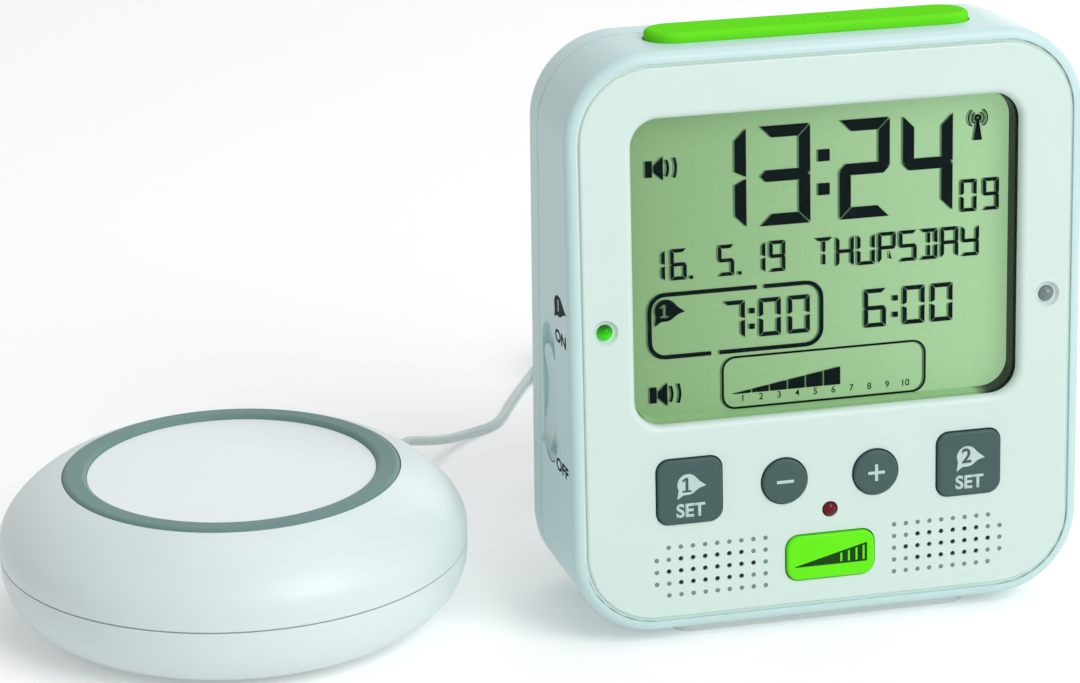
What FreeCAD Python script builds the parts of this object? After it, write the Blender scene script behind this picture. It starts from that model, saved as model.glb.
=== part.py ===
import FreeCAD, Part
import Sketcher
import math
import os
from types import SimpleNamespace

V = FreeCAD.Vector

# Bed shaker alarm clock: a leaning desk clock, a round vibration pad and the cord between them.
# Lengths are in millimetres and angles in degrees.
sizes = [
    # clock case
    ("case_width", 105.5), ("case_height", 117.0), ("case_depth", 40.0), ("case_corner", 17.0),
    ("lean_angle", 3.5), ("stand_gap", 3.0), ("rim_round", 1.9), ("rear_round", 6.0),
    ("case_wall", 2.2), ("seam_depth", 28.0), ("seam_gap", 0.3), ("ledge_width", 2.2),
    ("ledge_thickness", 1.6), ("overrun", 5.0), ("play", 0.3), ("snug", 0.05),
    # front panel and window
    ("panel_inset", 2.8), ("panel_groove", 0.7), ("panel_thickness", 2.8), ("panel_round", 0.5),
    ("window_side", 13.15), ("window_top", 13.0), ("window_foot", 42.6), ("window_corner", 5.5),
    ("window_round", 1.5), ("lens_lap", 1.2), ("lens_thickness", 1.05),
    # speaker grille
    ("grille_pitch", 2.5), ("grille_hole", 0.5), ("grille_inner", 13.5), ("grille_side", 16.75),
    ("grille_level", 17.45),
    # display stack
    ("mask_depth", 3.6), ("mask_wall", 1.3), ("mask_trim", 0.2), ("glass_thickness", 2.0),
    ("glass_border", 1.6), ("light_thickness", 2.6), ("strip_width", 2.4), ("frame_wall", 1.1),
    ("clip_width", 5.0), ("board_thickness", 1.6), ("board_inset", 6.75), ("board_notch", 4.7),
    # buttons
    ("key_proud", 0.8), ("key_travel", 0.6), ("key_lip", 0.9), ("key_lip_thickness", 1.0),
    ("key_stem", 2.2), ("key_nose", 1.5), ("key_nose_reach", 0.5), ("key_round", 0.5),
    ("square_key_width", 13.2), ("square_key_height", 13.2), ("square_key_corner", 2.4),
    ("square_key_spread", 29.1), ("key_row_level", 29.0), ("round_key_radius", 4.6),
    ("round_key_spread", 9.5), ("level_key_width", 18.3), ("level_key_height", 9.2),
    ("level_key_corner", 2.6), ("level_key_level", 12.5), ("switch_side", 6.0),
    ("switch_height", 3.6), ("switch_bore_depth", 1.6),
    # indicators
    ("lamp_radius", 1.6), ("lamp_flange", 0.4), ("lamp_flange_thickness", 1.0), ("lamp_length", 5.2),
    ("lamp_proud", 0.6), ("lead_radius", 0.3), ("lead_spread", 1.27), ("red_lamp_level", 22.1),
    ("side_lamp_side", 7.25), ("side_lamp_level", 62.6), ("dimple_radius", 2.6),
    ("dimple_depth", 0.7),
    # speakers
    ("speaker_margin", 1.75), ("speaker_height", 14.4), ("speaker_depth", 6.5), ("speaker_corner", 5.0),
    ("speaker_rim", 1.2), ("speaker_rim_thickness", 1.2), ("magnet_radius", 6.0), ("magnet_depth", 1.6),
    # snooze bar
    ("bar_side", 19.75), ("bar_depth", 11.8), ("bar_centre", 13.7), ("bar_proud", 2.0),
    ("bar_round", 1.1), ("bar_travel", 1.2), ("bar_lip", 0.7),
    ("bar_lip_thickness", 1.2), ("bar_stem", 2.4), ("bar_stem_spread", 20.0),
    ("snooze_board_length", 56.0), ("snooze_board_depth", 7.6), ("snooze_board_drop", 9.4),
    ("snooze_switch_height", 2.6), ("bar_nose_bore", 2.1),
    # alarm sliders on the two sides
    ("slot_length", 29.0), ("slot_width", 10.4), ("slot_level", 46.5), ("slot_centre", 17.4),
    ("slot_depth", 1.3), ("slot_pad", 1.6), ("slider_travel", 4.2), ("slider_thickness", 1.1),
    ("slider_hollow", 0.7), ("thumb_height", 1.2), ("thumb_length", 5.0), ("neck_length", 4.4),
    ("neck_width", 2.4), ("neck_reach", 5.4), ("slide_switch_length", 13.0),
    ("slide_switch_width", 7.0), ("slide_switch_depth", 3.4),
    # back cover, battery bay and door
    ("bay_width", 54.0), ("bay_level", 10.5), ("bay_clearance", 0.8), ("bay_wall", 1.2), ("cell_radius", 7.2),
    ("cell_length", 50.0), ("cell_pitch", 14.8), ("cell_nub", 2.4), ("cell_nub_length", 1.0),
    ("cell_count", 4.0), ("contact_thickness", 0.4), ("spring_radius", 4.0), ("door_pin", 0.6),
    ("door_pin_length", 1.4), ("door_grip_radius", 7.0), ("door_grip_depth", 0.8), ("bay_corner", 0.5),
    ("screw_side", 9.75), ("screw_margin", 8.0), ("screw_radius", 1.3), ("screw_head", 2.2),
    ("screw_head_height", 1.8), ("screw_length", 14.0), ("boss_radius", 2.8), ("screw_sink", 3.0),
    # sockets in the back cover
    ("socket_level", 21.0), ("socket_side", 9.0), ("socket_depth", 13.0),
    ("socket_nose", 3.6), ("jack_bore", 1.8), ("inlet_bore", 2.8), ("inlet_pin", 1.0),
    ("inlet_depth", 9.0),
    # aerial
    ("rod_radius", 4.0), ("rod_length", 60.0), ("aerial_coil_length", 18.0),
    ("aerial_coil_build", 0.8), ("aerial_clip_width", 4.0), ("aerial_clip_wall", 1.2),
    # foot of the clock
    ("foot_width", 62.0), ("foot_front", 5.0), ("foot_back", 27.0), ("foot_corner", 4.0),
    # vibration pad
    ("pad_x", -114.2), ("pad_y", 20.4), ("pad_radius", 47.4), ("pad_belly", 17.5),
    ("pad_seam", 15.5), ("pad_wall", 2.2), ("pad_base", 1.2), ("pad_lower_bend", 12.5),
    ("pad_upper_bend", 8.5), ("pad_shoulder_bend", 22.0), ("pad_shoulder_angle", 35.0),
    ("ring_outer", 34.2), ("ring_inner", 29.2), ("ring_thickness", 2.7), ("ring_round", 1.2),
    ("ring_seat", 28.6), ("disc_crown", 0.5), ("disc_thickness", 1.8), ("pad_foot_outer", 32.0),
    ("pad_foot_inner", 28.0), ("pad_foot_sink", 1.0), ("pad_boss_ring", 24.0), ("pad_boss_radius", 3.2),
    ("pad_post_radius", 4.2), ("pad_post_top", 6.4), ("pad_screw_length", 12.0), ("pad_head_sink", 2.4),
    # vibration motor
    ("motor_radius", 10.0), ("motor_length", 25.0), ("motor_level", 15.0), ("motor_end", 5.0),
    ("motor_boss_radius", 3.0), ("motor_boss_length", 1.5), ("shaft_radius", 1.0),
    ("shaft_length", 14.0), ("shaft_bearing", 3.0), ("weight_radius", 8.5), ("weight_hub", 3.0),
    ("weight_length", 7.0), ("weight_gap", 2.0), ("cradle_margin", 1.0), ("cradle_width", 24.0),
    # cord
    ("cord_radius", 1.1), ("cord_exit_angle", 50.0), ("cord_exit_level", 11.5), ("relief_length", 15.0),
    ("relief_base", 2.9), ("relief_tip", 1.7), ("relief_collar", 3.6), ("relief_collar_length", 1.4), ("relief_collar_gap", 2.6),
    ("coil_x", -1.0), ("coil_y", 134.0), ("coil_start_angle", 153.0), ("coil_middle", 13.2),
    ("coil_gap", 0.8), ("coil_lift", 0.8), ("coil_layers", 4.0), ("coil_layer_turns", 4.0),
    ("tie_thickness", 0.5),
    ("tie_width", 4.0), ("plug_radius", 4.2), ("plug_length", 14.0), ("plug_pin", 1.75),
    ("plug_pin_length", 11.0), ("plug_relief_length", 10.0), ("plug_tip_radius", 1.6),
]

doc = FreeCAD.newDocument("bed_shaker_clock")
sheet = doc.addObject("Spreadsheet::Sheet", "Sizes")


class Size:
    """A length with two faces: its number for first placement, its formula for the bindings."""

    def __init__(self, formula, number):
        self.formula = formula
        self.number = number

    def __add__(self, other):
        other = as_size(other)
        return Size("(%s + %s)" % (self.formula, other.formula), self.number + other.number)

    def __sub__(self, other):
        other = as_size(other)
        return Size("(%s - %s)" % (self.formula, other.formula), self.number - other.number)

    def __mul__(self, other):
        other = as_size(other)
        return Size("(%s * %s)" % (self.formula, other.formula), self.number * other.number)

    def __truediv__(self, other):
        other = as_size(other)
        return Size("(%s / %s)" % (self.formula, other.formula), self.number / other.number)

    def __neg__(self):
        return Size("(0 - %s)" % self.formula, -self.number)

    def __radd__(self, other):
        return as_size(other) + self

    def __rsub__(self, other):
        return as_size(other) - self

    def __rmul__(self, other):
        return as_size(other) * self

    def __float__(self):
        return float(self.number)


def as_size(thing):
    if isinstance(thing, Size):
        return thing
    return Size(repr(float(thing)), float(thing))


def sine(angle):
    return Size("sin(%s)" % angle.formula, math.sin(math.radians(angle.number)))


def cosine(angle):
    return Size("cos(%s)" % angle.formula, math.cos(math.radians(angle.number)))


def root(size):
    return Size("sqrt(%s)" % size.formula, math.sqrt(size.number))


def fill_sheet():
    named = SimpleNamespace()
    for row, (name, number) in enumerate(sizes, 1):
        cell = "B%d" % row
        sheet.set("A%d" % row, name)
        sheet.set(cell, str(number))
        sheet.setAlias(cell, name)
        setattr(named, name, Size("Sizes." + name, number))
    doc.recompute()
    return named


s = fill_sheet()
s.window_width = s.case_width - 2 * s.window_side
s.window_height = s.case_height - s.window_top - s.window_foot
s.window_level = s.window_foot + s.window_height / 2
s.side_lamp_spread = s.case_width / 2 - s.side_lamp_side
s.screw_spread = s.case_width / 2 - s.screw_side
s.bar_length = s.case_width - 2 * s.bar_side
# the grille's columns spread from beside the level key to the side of the case, and the speaker with them
grille_columns = 10
s.column_pitch = (s.case_width / 2 - s.grille_side - s.grille_inner) / (grille_columns - 1)
s.speaker_width = (grille_columns - 1) * s.column_pitch + 2 * s.speaker_margin
# the aerial lies between the battery tray and the snooze board
rod_rise_share = 0.926267
rod_reach = s.rod_radius + s.aerial_clip_wall
rod_lowest = s.bay_level + s.cell_count * s.cell_pitch + s.bay_clearance + s.bay_wall + rod_reach
rod_highest = s.case_height - s.case_wall - s.snooze_board_drop - s.board_thickness - rod_reach
s.rod_level = rod_lowest + rod_rise_share * (rod_highest - rod_lowest)
# the sockets stand midway between the battery tray and the side walls
s.socket_spread = (s.bay_width / 2 + s.bay_wall + s.case_width / 2 - s.case_wall) / 2
pieces = []

# The clock leans back about its front bottom edge; pieces behind the seam stand upright.
pivot = V(0, -float(s.case_depth) / 2, float(s.stand_gap))
leaning = FreeCAD.Placement(pivot, FreeCAD.Rotation(V(1, 0, 0), -float(s.lean_angle)))
upright = FreeCAD.Placement(pivot, FreeCAD.Rotation())
pad_place = FreeCAD.Placement(V(float(s.pad_x), float(s.pad_y), 0), FreeCAD.Rotation())
here = FreeCAD.Placement()
lean_slope = sine(s.lean_angle) / cosine(s.lean_angle)


def bind(item, path, size):
    size = as_size(size)
    item.setExpression(path, size.formula)


def keep(item, label, place):
    """Register one finished piece of the object."""
    item.Label = label
    item.Placement = place
    pieces.append(item)
    return item


def start_body(label, place):
    body = doc.addObject("PartDesign::Body", label)
    body.Placement = place
    body.Label = label
    pieces.append(body)
    return body


def add_sketch(body, role, offset=0, tilted=False):
    """A sketch on one of the body's planes, offset along +X, +Y or +Z.

    A tilted one stands in the leaning frame of the clock face inside an upright body.
    """
    sketch = body.newObject("Sketcher::SketchObject", "Sketch")
    plane = [item for item in body.Origin.OriginFeatures if item.Role == role][0]
    sketch.AttachmentSupport = [(plane, "")]
    sketch.MapMode = "FlatFace"
    away = -as_size(offset) if role == "XZ_Plane" else as_size(offset)
    if tilted:
        turn = FreeCAD.Rotation(V(1, 0, 0), -float(s.lean_angle))
        sketch.AttachmentOffset = FreeCAD.Placement(V(), turn)
        bind(sketch, ".AttachmentOffset.Base.y", away * sine(s.lean_angle))
        away = away * cosine(s.lean_angle)
    bind(sketch, ".AttachmentOffset.Base.z", away)
    return sketch


def pin_point(sketch, curve, end, x, y):
    for kind, size in (("DistanceX", as_size(x)), ("DistanceY", as_size(y))):
        index = sketch.addConstraint(Sketcher.Constraint(kind, -1, 1, curve, end, size.number))
        sketch.setExpression("Constraints[%d]" % index, size.formula)


def set_radius(sketch, curve, radius):
    radius = as_size(radius)
    index = sketch.addConstraint(Sketcher.Constraint("Radius", curve, radius.number))
    sketch.setExpression("Constraints[%d]" % index, radius.formula)


def circle(sketch, x, y, radius):
    centre = V(float(x), float(y), 0)
    curve = sketch.addGeometry(Part.Circle(centre, V(0, 0, 1), float(radius)), False)
    set_radius(sketch, curve, radius)
    pin_point(sketch, curve, 3, x, y)


def rounded(sketch, x, y, width, height, corner):
    """A rounded rectangle centred on x, y, held by its own width, height and corner."""
    left, right = float(x) - float(width) / 2, float(x) + float(width) / 2
    low, high = float(y) - float(height) / 2, float(y) + float(height) / 2
    r = float(corner)
    ends = [((left + r, low), (right - r, low)), ((right, low + r), (right, high - r)),
            ((right - r, high), (left + r, high)), ((left, high - r), (left, low + r))]
    centres = [(right - r, low + r), (right - r, high - r), (left + r, high - r), (left + r, low + r)]
    first = None
    for index in range(4):
        start, end = ends[index]
        line = sketch.addGeometry(Part.LineSegment(V(start[0], start[1], 0), V(end[0], end[1], 0)), False)
        turn = Part.Circle(V(centres[index][0], centres[index][1], 0), V(0, 0, 1), r)
        low_angle = (index - 1) * math.pi / 2
        sketch.addGeometry(Part.ArcOfCircle(turn, low_angle, low_angle + math.pi / 2), False)
        first = line if first is None else first
    for index in range(4):
        line, arc, after = first + 2 * index, first + 2 * index + 1, first + (2 * index + 2) % 8
        sketch.addConstraint(Sketcher.Constraint("Tangent", line, 2, arc, 1))
        sketch.addConstraint(Sketcher.Constraint("Tangent", arc, 2, after, 1))
    sketch.addConstraint(Sketcher.Constraint("Horizontal", first))
    sketch.addConstraint(Sketcher.Constraint("Vertical", first + 2))
    sketch.addConstraint(Sketcher.Constraint("Horizontal", first + 4))
    for arc in (first + 3, first + 5):
        sketch.addConstraint(Sketcher.Constraint("Equal", first + 1, arc))
    half_width, half_height = as_size(width) / 2, as_size(height) / 2
    set_radius(sketch, first + 1, corner)
    pin_point(sketch, first + 1, 3, x + half_width - corner, y - half_height + corner)
    pin_point(sketch, first + 5, 3, x - half_width + corner, y + half_height - corner)


def outline(sketch, points):
    """A closed outline through x, y points; x, y, bend makes the way to that point an arc.

    A positive bend turns left on its way, a negative one turns right.
    """
    count = len(points)
    first = None
    for index in range(count):
        start, end = points[index - 1], points[index]
        a, b = V(float(start[0]), float(start[1]), 0), V(float(end[0]), float(end[1]), 0)
        if len(end) == 2:
            curve = sketch.addGeometry(Part.LineSegment(a, b), False)
        else:
            curve = sketch.addGeometry(bend_between(a, b, float(end[2])), False)
        first = curve if first is None else first
    for index in range(count):
        after = (index + 1) % count
        left_turn = len(points[index]) == 2 or float(points[index][2]) > 0
        next_left = len(points[after]) == 2 or float(points[after][2]) > 0
        end, begin = (2 if left_turn else 1), (1 if next_left else 2)
        sketch.addConstraint(Sketcher.Constraint("Coincident", first + index, end, first + after, begin))
        pin_point(sketch, first + index, end, points[index][0], points[index][1])
        if len(points[index]) == 3:
            radius = as_size(points[index][2])
            set_radius(sketch, first + index, radius if radius.number > 0 else -radius)


def bend_between(a, b, bend):
    """The arc of radius |bend| from a to b, the short way."""
    radius = abs(bend)
    chord = b.sub(a)
    side = V(-chord.y, chord.x, 0).normalize()
    height = math.sqrt(max(radius * radius - chord.Length * chord.Length / 4, 0))
    centre = a.add(b).multiply(1 / 2).add(side.multiply(height if bend > 0 else -height))
    turn = Part.Circle(centre, V(0, 0, 1), radius)
    first, last = (a, b) if bend > 0 else (b, a)
    return Part.ArcOfCircle(turn, turn.parameter(first), turn.parameter(last))


def grow(body, sketch, length, back=False, middle=False, taper=0):
    """Pad the sketch; back=True goes towards +Y on the upright plane."""
    pad = body.newObject("PartDesign::Pad", "Pad")
    pad.Profile = sketch
    bind(pad, "Length", length)
    pad.Reversed = back
    pad.Midplane = middle
    if taper:
        bind(pad, "TaperAngle", taper)
    doc.recompute()
    return pad


def carve(body, sketch, length, back=True, middle=False, taper=0):
    """Pocket the sketch; back=True goes towards +Y on the upright plane."""
    pocket = body.newObject("PartDesign::Pocket", "Pocket")
    pocket.Profile = sketch
    bind(pocket, "Length", length)
    pocket.Reversed = not back
    pocket.Midplane = middle
    if taper:
        bind(pocket, "TaperAngle", taper)
    before = body.Shape.Volume
    doc.recompute()
    if before - body.Shape.Volume < float(length) * 1e-6:
        raise RuntimeError("a pocket in %s cuts nothing" % body.Label)
    return pocket


def spin(body, sketch, cut=False):
    """Turn the sketch a full turn about the vertical axis of its plane."""
    kind = "PartDesign::Groove" if cut else "PartDesign::Revolution"
    turned = body.newObject(kind, "Turned")
    turned.Profile = sketch
    turned.ReferenceAxis = (sketch, ["V_Axis"])
    turned.Angle = 360
    doc.recompute()
    return turned


def blend_edges(body, radius, wanted):
    """Round the edges for which wanted(edge) is true."""
    doc.recompute()
    tip = body.Tip
    names = ["Edge%d" % number for number, edge in enumerate(tip.Shape.Edges, 1) if wanted(edge)]
    if not names:
        raise RuntimeError("no edge to round in %s" % body.Label)
    rounding = body.newObject("PartDesign::Fillet", "Rounding")
    rounding.Base = (tip, names)
    bind(rounding, "Radius", radius)
    doc.recompute()
    return rounding


def flat_at(axis, level, slack=1e-4):
    """A test for edges that lie wholly at one level of an axis."""
    level = float(level)

    def wanted(edge):
        box = edge.BoundBox
        low, high = (getattr(box, axis + "Min"), getattr(box, axis + "Max"))
        return abs(low - level) < slack and abs(high - level) < slack
    return wanted


def block(x, y, z, width, depth, height):
    """A box between x, y, z and its three sides."""
    box = doc.addObject("Part::Box", "Block")
    for path, size in (("Length", width), ("Width", depth), ("Height", height),
                       (".Placement.Base.x", x), (".Placement.Base.y", y), (".Placement.Base.z", z)):
        bind(box, path, size)
    return box


def rod(x, y, z, radius, length, axis="z"):
    """A cylinder from x, y, z along +X, +Y or +Z."""
    turned = {"x": FreeCAD.Rotation(V(0, 1, 0), 90), "y": FreeCAD.Rotation(V(1, 0, 0), -90),
              "z": FreeCAD.Rotation()}[axis]
    cylinder = doc.addObject("Part::Cylinder", "Rod")
    cylinder.Placement = FreeCAD.Placement(V(), turned)
    for path, size in (("Radius", radius), ("Height", length),
                       (".Placement.Base.x", x), (".Placement.Base.y", y), (".Placement.Base.z", z)):
        bind(cylinder, path, size)
    return cylinder


def ball(x, y, z, radius):
    sphere = doc.addObject("Part::Sphere", "Ball")
    for path, size in (("Radius", radius), (".Placement.Base.x", x),
                       (".Placement.Base.y", y), (".Placement.Base.z", z)):
        bind(sphere, path, size)
    return sphere


def joined(items):
    fuse = doc.addObject("Part::MultiFuse", "Joined")
    fuse.Shapes = items
    return fuse


def cut(base, tools):
    tool = tools[0] if len(tools) == 1 else joined(tools)
    result = doc.addObject("Part::Cut", "Cut")
    result.Base = base
    result.Tool = tool
    return result


def group(items):
    together = doc.addObject("Part::Compound", "Group")
    together.Links = items
    return together


# Front face layout, shared by the panel and what sits behind it.
panel_width = s.case_width - 2 * s.panel_inset
panel_height = s.case_height - 2 * s.panel_inset
panel_corner = s.case_corner - s.panel_inset
middle_level = s.case_height / 2
board_face = s.panel_thickness + s.mask_depth + s.glass_thickness + s.light_thickness
square_keys = (("set_1_button", -s.square_key_spread), ("set_2_button", s.square_key_spread))
round_keys = (("minus_button", -s.round_key_spread), ("plus_button", s.round_key_spread))


def grille_places(side):
    """The through holes of one speaker grille, from its inner column outwards."""
    columns, rows = grille_columns, 5
    places = []
    for row in range(1, rows - 1):
        rim = 1 if row == rows // 2 else 2
        for column in range(rim, columns - rim):
            places.append((side * (s.grille_inner + column * s.column_pitch),
                           s.grille_level - row * s.grille_pitch))
    return places


def make_front_panel():
    body = start_body("front_panel", leaning)
    face = add_sketch(body, "XZ_Plane")
    rounded(face, as_size(0), middle_level, panel_width, panel_height, panel_corner)
    grow(body, face, s.panel_thickness, back=True)
    blend_edges(body, s.panel_round, flat_at("Y", 0))
    window = add_sketch(body, "XZ_Plane")
    rounded(window, as_size(0), s.window_level, s.window_width, s.window_height, s.window_corner)
    carve(body, window, s.panel_thickness)
    reach = float(s.window_width) / 2 + float(s.snug)
    blend_edges(body, s.window_round, lambda edge: flat_at("Y", 0)(edge)
                and abs(edge.CenterOfMass.x) < reach and edge.CenterOfMass.z > float(s.key_row_level)
                and edge.CenterOfMass.z < float(s.window_level + s.window_height / 2 + s.snug))
    rebate = add_sketch(body, "XZ_Plane", s.panel_thickness - s.lens_thickness - s.snug)
    rounded(rebate, as_size(0), s.window_level, s.window_width + 2 * s.lens_lap,
            s.window_height + 2 * s.lens_lap, s.window_corner + s.lens_lap)
    carve(body, rebate, s.lens_thickness + s.overrun)
    openings = add_sketch(body, "XZ_Plane")
    for name, x in square_keys:
        rounded(openings, x, s.key_row_level, s.square_key_width + 2 * s.play,
                s.square_key_height + 2 * s.play, s.square_key_corner + s.play)
    for name, x in round_keys:
        circle(openings, x, s.key_row_level, s.round_key_radius + s.play)
    rounded(openings, as_size(0), s.level_key_level, s.level_key_width + 2 * s.play,
            s.level_key_height + 2 * s.play, s.level_key_corner + s.play)
    circle(openings, as_size(0), s.red_lamp_level, s.lamp_radius + s.snug)
    for side in (-1, 1):
        circle(openings, side * s.side_lamp_spread, s.side_lamp_level, s.lamp_radius + s.snug)
    carve(body, openings, s.panel_thickness)
    dimples = add_sketch(body, "XZ_Plane")
    for side in (-1, 1):
        circle(dimples, side * s.side_lamp_spread, s.side_lamp_level, s.dimple_radius)
    carve(body, dimples, s.dimple_depth, taper=as_size(-40))
    for side in (-1, 1):
        holes = add_sketch(body, "XZ_Plane")
        for x, z in grille_places(side):
            circle(holes, x, z, s.grille_hole)
        carve(body, holes, s.panel_thickness)


def bar_outline(sketch, margin):
    """The obround plan of the snooze bar, grown by a margin."""
    depth = s.bar_depth + 2 * margin
    rounded(sketch, as_size(0), s.bar_centre, s.bar_length + 2 * margin, depth, depth / 2 - s.snug)


def make_main_housing():
    body = start_body("main_housing", leaning)
    shell = add_sketch(body, "XZ_Plane")
    rounded(shell, as_size(0), middle_level, s.case_width, s.case_height, s.case_corner)
    grow(body, shell, s.case_depth, back=True)
    blend_edges(body, s.rim_round, flat_at("Y", 0))
    behind = add_sketch(body, "YZ_Plane")
    high, low = s.case_height + s.overrun, -s.overrun
    far = s.case_depth + s.overrun
    top_seam = s.seam_depth / cosine(s.lean_angle) - high * lean_slope
    low_seam = s.seam_depth / cosine(s.lean_angle) - low * lean_slope
    outline(behind, [(low_seam, low), (far, low), (far, high), (top_seam, high)])
    carve(body, behind, s.case_width + s.overrun, middle=True)
    ledge_front = s.panel_thickness + s.snug
    ledge_back = ledge_front + s.ledge_thickness
    seat = add_sketch(body, "XZ_Plane")
    rounded(seat, as_size(0), middle_level, panel_width + 2 * s.panel_groove,
            panel_height + 2 * s.panel_groove, panel_corner + s.panel_groove)
    carve(body, seat, ledge_front)
    mouth = add_sketch(body, "XZ_Plane")
    rounded(mouth, as_size(0), middle_level, panel_width - 2 * s.ledge_width,
            panel_height - 2 * s.ledge_width, panel_corner - s.ledge_width)
    carve(body, mouth, s.case_depth)
    room = add_sketch(body, "XZ_Plane", ledge_back)
    rounded(room, as_size(0), middle_level, s.case_width - 2 * s.case_wall,
            s.case_height - 2 * s.case_wall, s.case_corner - s.case_wall)
    carve(body, room, s.case_depth)
    # bosses for the case screws rise from the ledge to the seam
    bosses = add_sketch(body, "XZ_Plane", ledge_front)
    for x, z in screw_places():
        circle(bosses, x, z, s.boss_radius)
    grow(body, bosses, boss_top - ledge_front, back=True)
    holes = add_sketch(body, "XZ_Plane", screw_seat - s.screw_length - s.snug)
    for x, z in screw_places():
        circle(holes, x, z, s.screw_radius + s.snug)
    carve(body, holes, s.screw_length)
    # opening for the snooze bar
    top = add_sketch(body, "XY_Plane", s.case_height + s.overrun)
    bar_outline(top, s.play)
    carve(body, top, s.case_wall + 2 * s.overrun)
    # thick patches, shallow recesses and neck slots of the alarm sliders
    for side in (-1, 1):
        wall_face = side * s.case_width / 2
        patch = add_sketch(body, "YZ_Plane", wall_face - side * s.slot_depth)
        rounded(patch, s.slot_centre, s.slot_level, s.slot_width + 2 * s.case_wall,
                s.slot_length + 2 * s.case_wall, s.slot_width / 2 + s.case_wall - s.snug)
        grow(body, patch, s.slot_pad, back=side > 0)
        recess = add_sketch(body, "YZ_Plane", wall_face)
        rounded(recess, s.slot_centre, s.slot_level, s.slot_width, s.slot_length, s.slot_width / 2 - s.snug)
        carve(body, recess, s.slot_depth, back=side > 0)
        slot = add_sketch(body, "YZ_Plane", wall_face)
        rounded(slot, s.slot_centre, neck_level + s.slider_travel / 2, s.neck_width + 2 * s.play,
                s.neck_length + s.slider_travel + 2 * s.play, s.neck_width / 2)
        carve(body, slot, s.slot_depth + s.slot_pad + s.overrun, back=side > 0)


def screw_places():
    return [(x * s.screw_spread, z) for x in (-1, 1)
            for z in (s.screw_margin, s.case_height - s.screw_margin)]


def plate(label, place, y, thickness, x, z, width, height, corner):
    """A plate with round corners, parallel to the face; returns its body."""
    body = start_body(label, place)
    face = add_sketch(body, "XZ_Plane", y)
    rounded(face, as_size(x), z, width, height, corner)
    grow(body, face, thickness, back=True)
    return body


mask_width = s.window_width - 2 * s.mask_trim
mask_height = s.window_height - 2 * s.mask_trim
glass_width = s.window_width + 2 * s.glass_border
glass_height = s.window_height + 2 * s.glass_border
glass_face = s.panel_thickness + s.mask_depth
light_face = glass_face + s.glass_thickness
slider_length = s.slot_length - s.slider_travel - 2 * s.play
slider_low = s.slot_level - s.slot_length / 2 + s.play
neck_level = slider_low + slider_length / 2
boss_top = s.seam_depth - s.case_height * lean_slope - s.play
screw_seat = boss_top + s.play + s.screw_sink


def make_display():
    plate("window_lens", leaning, s.panel_thickness - s.lens_thickness, s.lens_thickness - s.snug, 0,
          s.window_level, s.window_width + 2 * s.lens_lap - 2 * s.snug,
          s.window_height + 2 * s.lens_lap - 2 * s.snug, s.window_corner + s.lens_lap)
    mask = start_body("display_mask", leaning)
    ring = add_sketch(mask, "XZ_Plane", s.panel_thickness + s.snug)
    rounded(ring, as_size(0), s.window_level, mask_width, mask_height, s.window_corner)
    rounded(ring, as_size(0), s.window_level, mask_width + 2 * s.mask_wall,
            mask_height + 2 * s.mask_wall, s.window_corner + s.mask_wall)
    grow(mask, ring, s.mask_depth - 2 * s.snug, back=True)
    plate("display_glass", leaning, glass_face, s.glass_thickness - s.snug, 0, s.window_level,
          glass_width, glass_height, s.mask_wall)
    light_height = glass_height - 2 * s.strip_width - 4 * s.play
    plate("display_light_panel", leaning, light_face, s.light_thickness - s.snug, 0, s.window_level,
          glass_width, light_height, s.mask_wall)
    strips = []
    for side in (-1, 1):
        middle = s.window_level + side * (glass_height / 2 - s.strip_width / 2)
        strip_length = glass_width - 2 * s.mask_wall
        strips.append(block(-strip_length / 2, light_face, middle - s.strip_width / 2,
                            strip_length, s.light_thickness - s.snug, s.strip_width))
    keep(group(strips), "display_connector_strips", leaning)
    frame = start_body("display_frame", leaning)
    rim = add_sketch(frame, "XZ_Plane", s.panel_thickness + s.snug)
    rounded(rim, as_size(0), s.window_level, mask_width + 2 * s.mask_wall + 2 * s.snug,
            mask_height + 2 * s.mask_wall + 2 * s.snug, s.window_corner + s.mask_wall + s.snug)
    rounded(rim, as_size(0), s.window_level, glass_width + 2 * s.frame_wall + 2 * s.snug,
            glass_height + 2 * s.frame_wall + 2 * s.snug, s.frame_wall + s.mask_wall)
    grow(frame, rim, board_face - s.panel_thickness - 2 * s.snug, back=True)
    nest = add_sketch(frame, "XZ_Plane", glass_face - s.snug)
    rounded(nest, as_size(0), s.window_level, glass_width + 2 * s.snug, glass_height + 2 * s.snug,
            s.mask_wall + s.snug)
    carve(frame, nest, s.glass_thickness + s.light_thickness + s.overrun)


def make_boards():
    body = plate("main_board", leaning, board_face, s.board_thickness, 0, middle_level,
                 s.case_width - 2 * s.board_inset, s.case_height - 2 * s.board_inset, s.boss_radius)
    notches = add_sketch(body, "XZ_Plane", board_face)
    for x, z in screw_places():
        circle(notches, x, z, s.board_notch)
    carve(body, notches, s.board_thickness)
    start_body("snooze_board", leaning)
    board = pieces[-1]
    top = add_sketch(board, "XY_Plane", snooze_board_top)
    rounded(top, as_size(0), board_back + s.snooze_board_depth / 2, s.snooze_board_length,
            s.snooze_board_depth, s.boss_radius / 2)
    grow(board, top, s.board_thickness, back=True)


board_back = board_face + s.board_thickness + s.snug
ceiling = s.case_height - s.case_wall
snooze_board_top = ceiling - s.snooze_board_drop
stem_depth = board_back + s.snooze_board_depth / 2


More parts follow.
